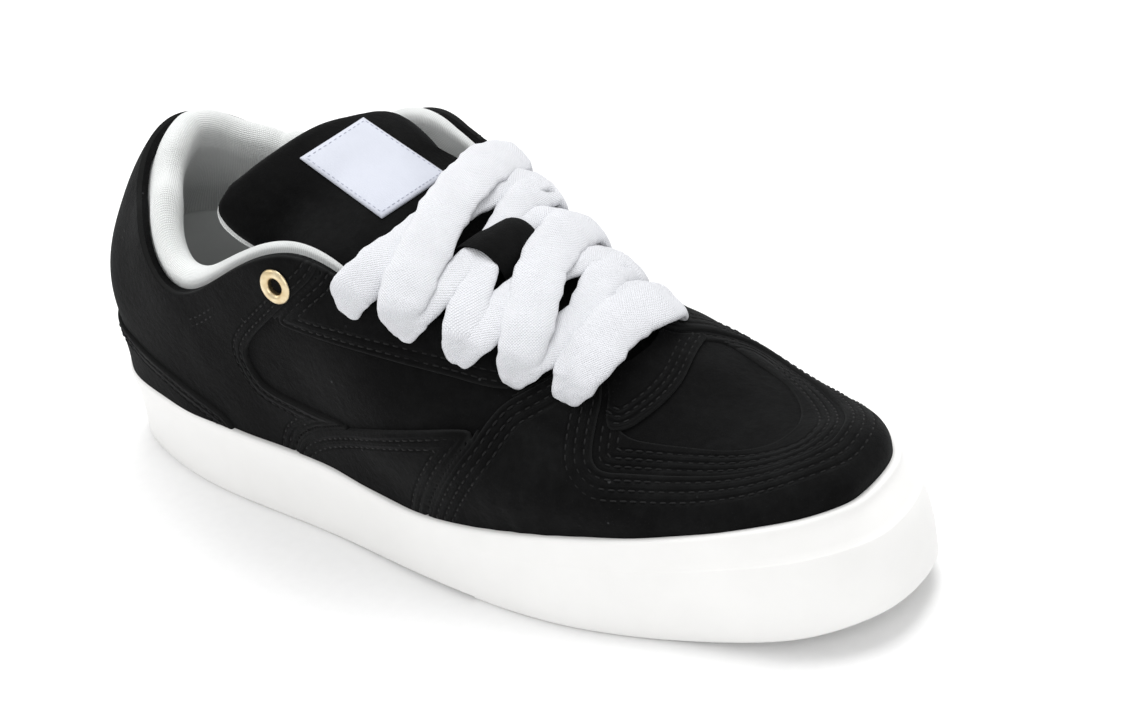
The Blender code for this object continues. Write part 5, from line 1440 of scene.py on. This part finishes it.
# Brass eyelets.
def makeRings():
    look = brassMaterial()
    hole = ringEyelet["hole"] / ringEyelet["radius"]
    profile = through(((hole, -2.4), (hole + 0.10, -2.4), (hole + 0.12, -0.3), (0.95, -0.05), (1.00, 0.28),
                       (0.93, 0.72), (0.78, 0.96), (0.66, 1.00), (hole + 0.10, 0.80), (hole + 0.02, 0.45),
                       (hole, 0.0)), 34, closed=True)
    for name, station in (("outer", ringEyelet["station"]), ("inner", roundStations - ringEyelet["station"])):
        foot = wallPlace(station, ringEyelet["below"], panelHeights["quarter"][1])
        tip = wallPlace(station, ringEyelet["below"], panelHeights["quarter"][1] + 0.003)
        axis = (tip - foot) / np.linalg.norm(tip - foot)
        first = np.cross(axis, [1, 0, 0])
        first /= np.linalg.norm(first)
        second = np.cross(axis, first)
        rings = []
        turns, count = ringEyelet["turns"], len(profile)
        for k in range(turns):
            angle = 2 * math.pi * k / turns
            spoke = math.cos(angle) * first + math.sin(angle) * second
            up, out = axis * ringEyelet["thick"], spoke * ringEyelet["radius"]
            rings.append([foot + up * h + out * r for r, h in profile])
        faces = []
        for k in range(turns):
            here, after = k * count, (k + 1) % turns * count
            faces += [(here + i, here + (i + 1) % count, after + (i + 1) % count, after + i) for i in range(count)]
        points = np.array(rings).reshape(-1, 3)
        made = facingOut(meshPiece("brassEyelet" + name.title(), points, faces, [look], sharp=60))
        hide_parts("eyelet_" + name)
        # A black disc behind each ring's hole stands in for the shade inside it: painted shade.
        angles = np.linspace(0, 2 * math.pi, 32, endpoint=False)[:, None]
        spokes = (np.cos(angles) * first + np.sin(angles) * second) * ringEyelet["holeShadeRadius"]
        disc = [foot + axis * depth + spokes * wide for depth, wide in ringEyelet["holeShade"]]
        lofted("eyeletHoleShade" + name.title(), disc, [plainSuede])


makeRings()
print("eyelets done")


# Camera, floor and light.
def makeCamera():
    right, top, back = viewTurn()
    data = bpy.data.cameras.new("photoView")
    data.lens, data.sensor_width, data.clip_start = photoView["lens"], photoView["sensor"], 0.01
    eye = bpy.data.objects.new("photoView", data)
    bpy.context.scene.collection.objects.link(eye)
    turn = Matrix((right, top, back)).transposed().to_4x4()
    aim = Vector((0, 0, photoView["aim"]))
    turn.translation = aim + back * photoView["distance"] + right * photoView["right"] + top * photoView["up"]
    eye.matrix_world = turn
    bpy.context.scene.camera = eye


def makeStage():
    bpy.ops.mesh.primitive_plane_add(size=12, location=(0, 0, 0))
    floor = bpy.context.active_object
    floor.name = "paleFloor"
    made, shader, node, link = nodeTools("palePaper")
    paper = node("ShaderNodeTexNoise", Scale=300, Detail=2.0)
    link(node("ShaderNodeTexCoord").outputs["Object"], paper.inputs["Vector"])
    link(ramp(node, link, paper.outputs[0], ((0.3, 0.90), (0.7, 0.915))), shader.inputs["Base Color"])
    shader.inputs["Roughness"].default_value = 0.95
    shader.inputs["Specular IOR Level"].default_value = 0.1
    floor.data.materials.append(made)


def areaLight(name, place, size, power, aim=(0, 0, 0.04)):
    data = bpy.data.lights.new(name, "AREA")
    data.shape, data.size, data.energy = "DISK", size, power
    lamp = bpy.data.objects.new(name, data)
    bpy.context.scene.collection.objects.link(lamp)
    lamp.location = place
    lamp.rotation_mode = "QUATERNION"
    lamp.rotation_quaternion = (Vector(aim) - Vector(place)).to_track_quat("-Z", "Y")


# Place, size and power of each light.
softboxes = {"topSoftbox": ((-0.15, 0.50, 1.55), 1.2, 22), "frontSoftbox": ((0.85, -1.35, 1.0), 1.3, 7.6),
             "heelSoftbox": ((-1.3, -0.75, 0.9), 1.0, 5)}
makeCamera()
makeStage()
for name, values in softboxes.items():
    areaLight(name, *values)
world = bpy.context.scene.world or bpy.data.worlds.new("studio")
bpy.context.scene.world = world
world.use_nodes = True
world.node_tree.nodes["Background"].inputs[0].default_value = (1, 1, 1, 1)
world.node_tree.nodes["Background"].inputs[1].default_value = 0.68
bpy.context.scene.view_settings.view_transform = "Standard"
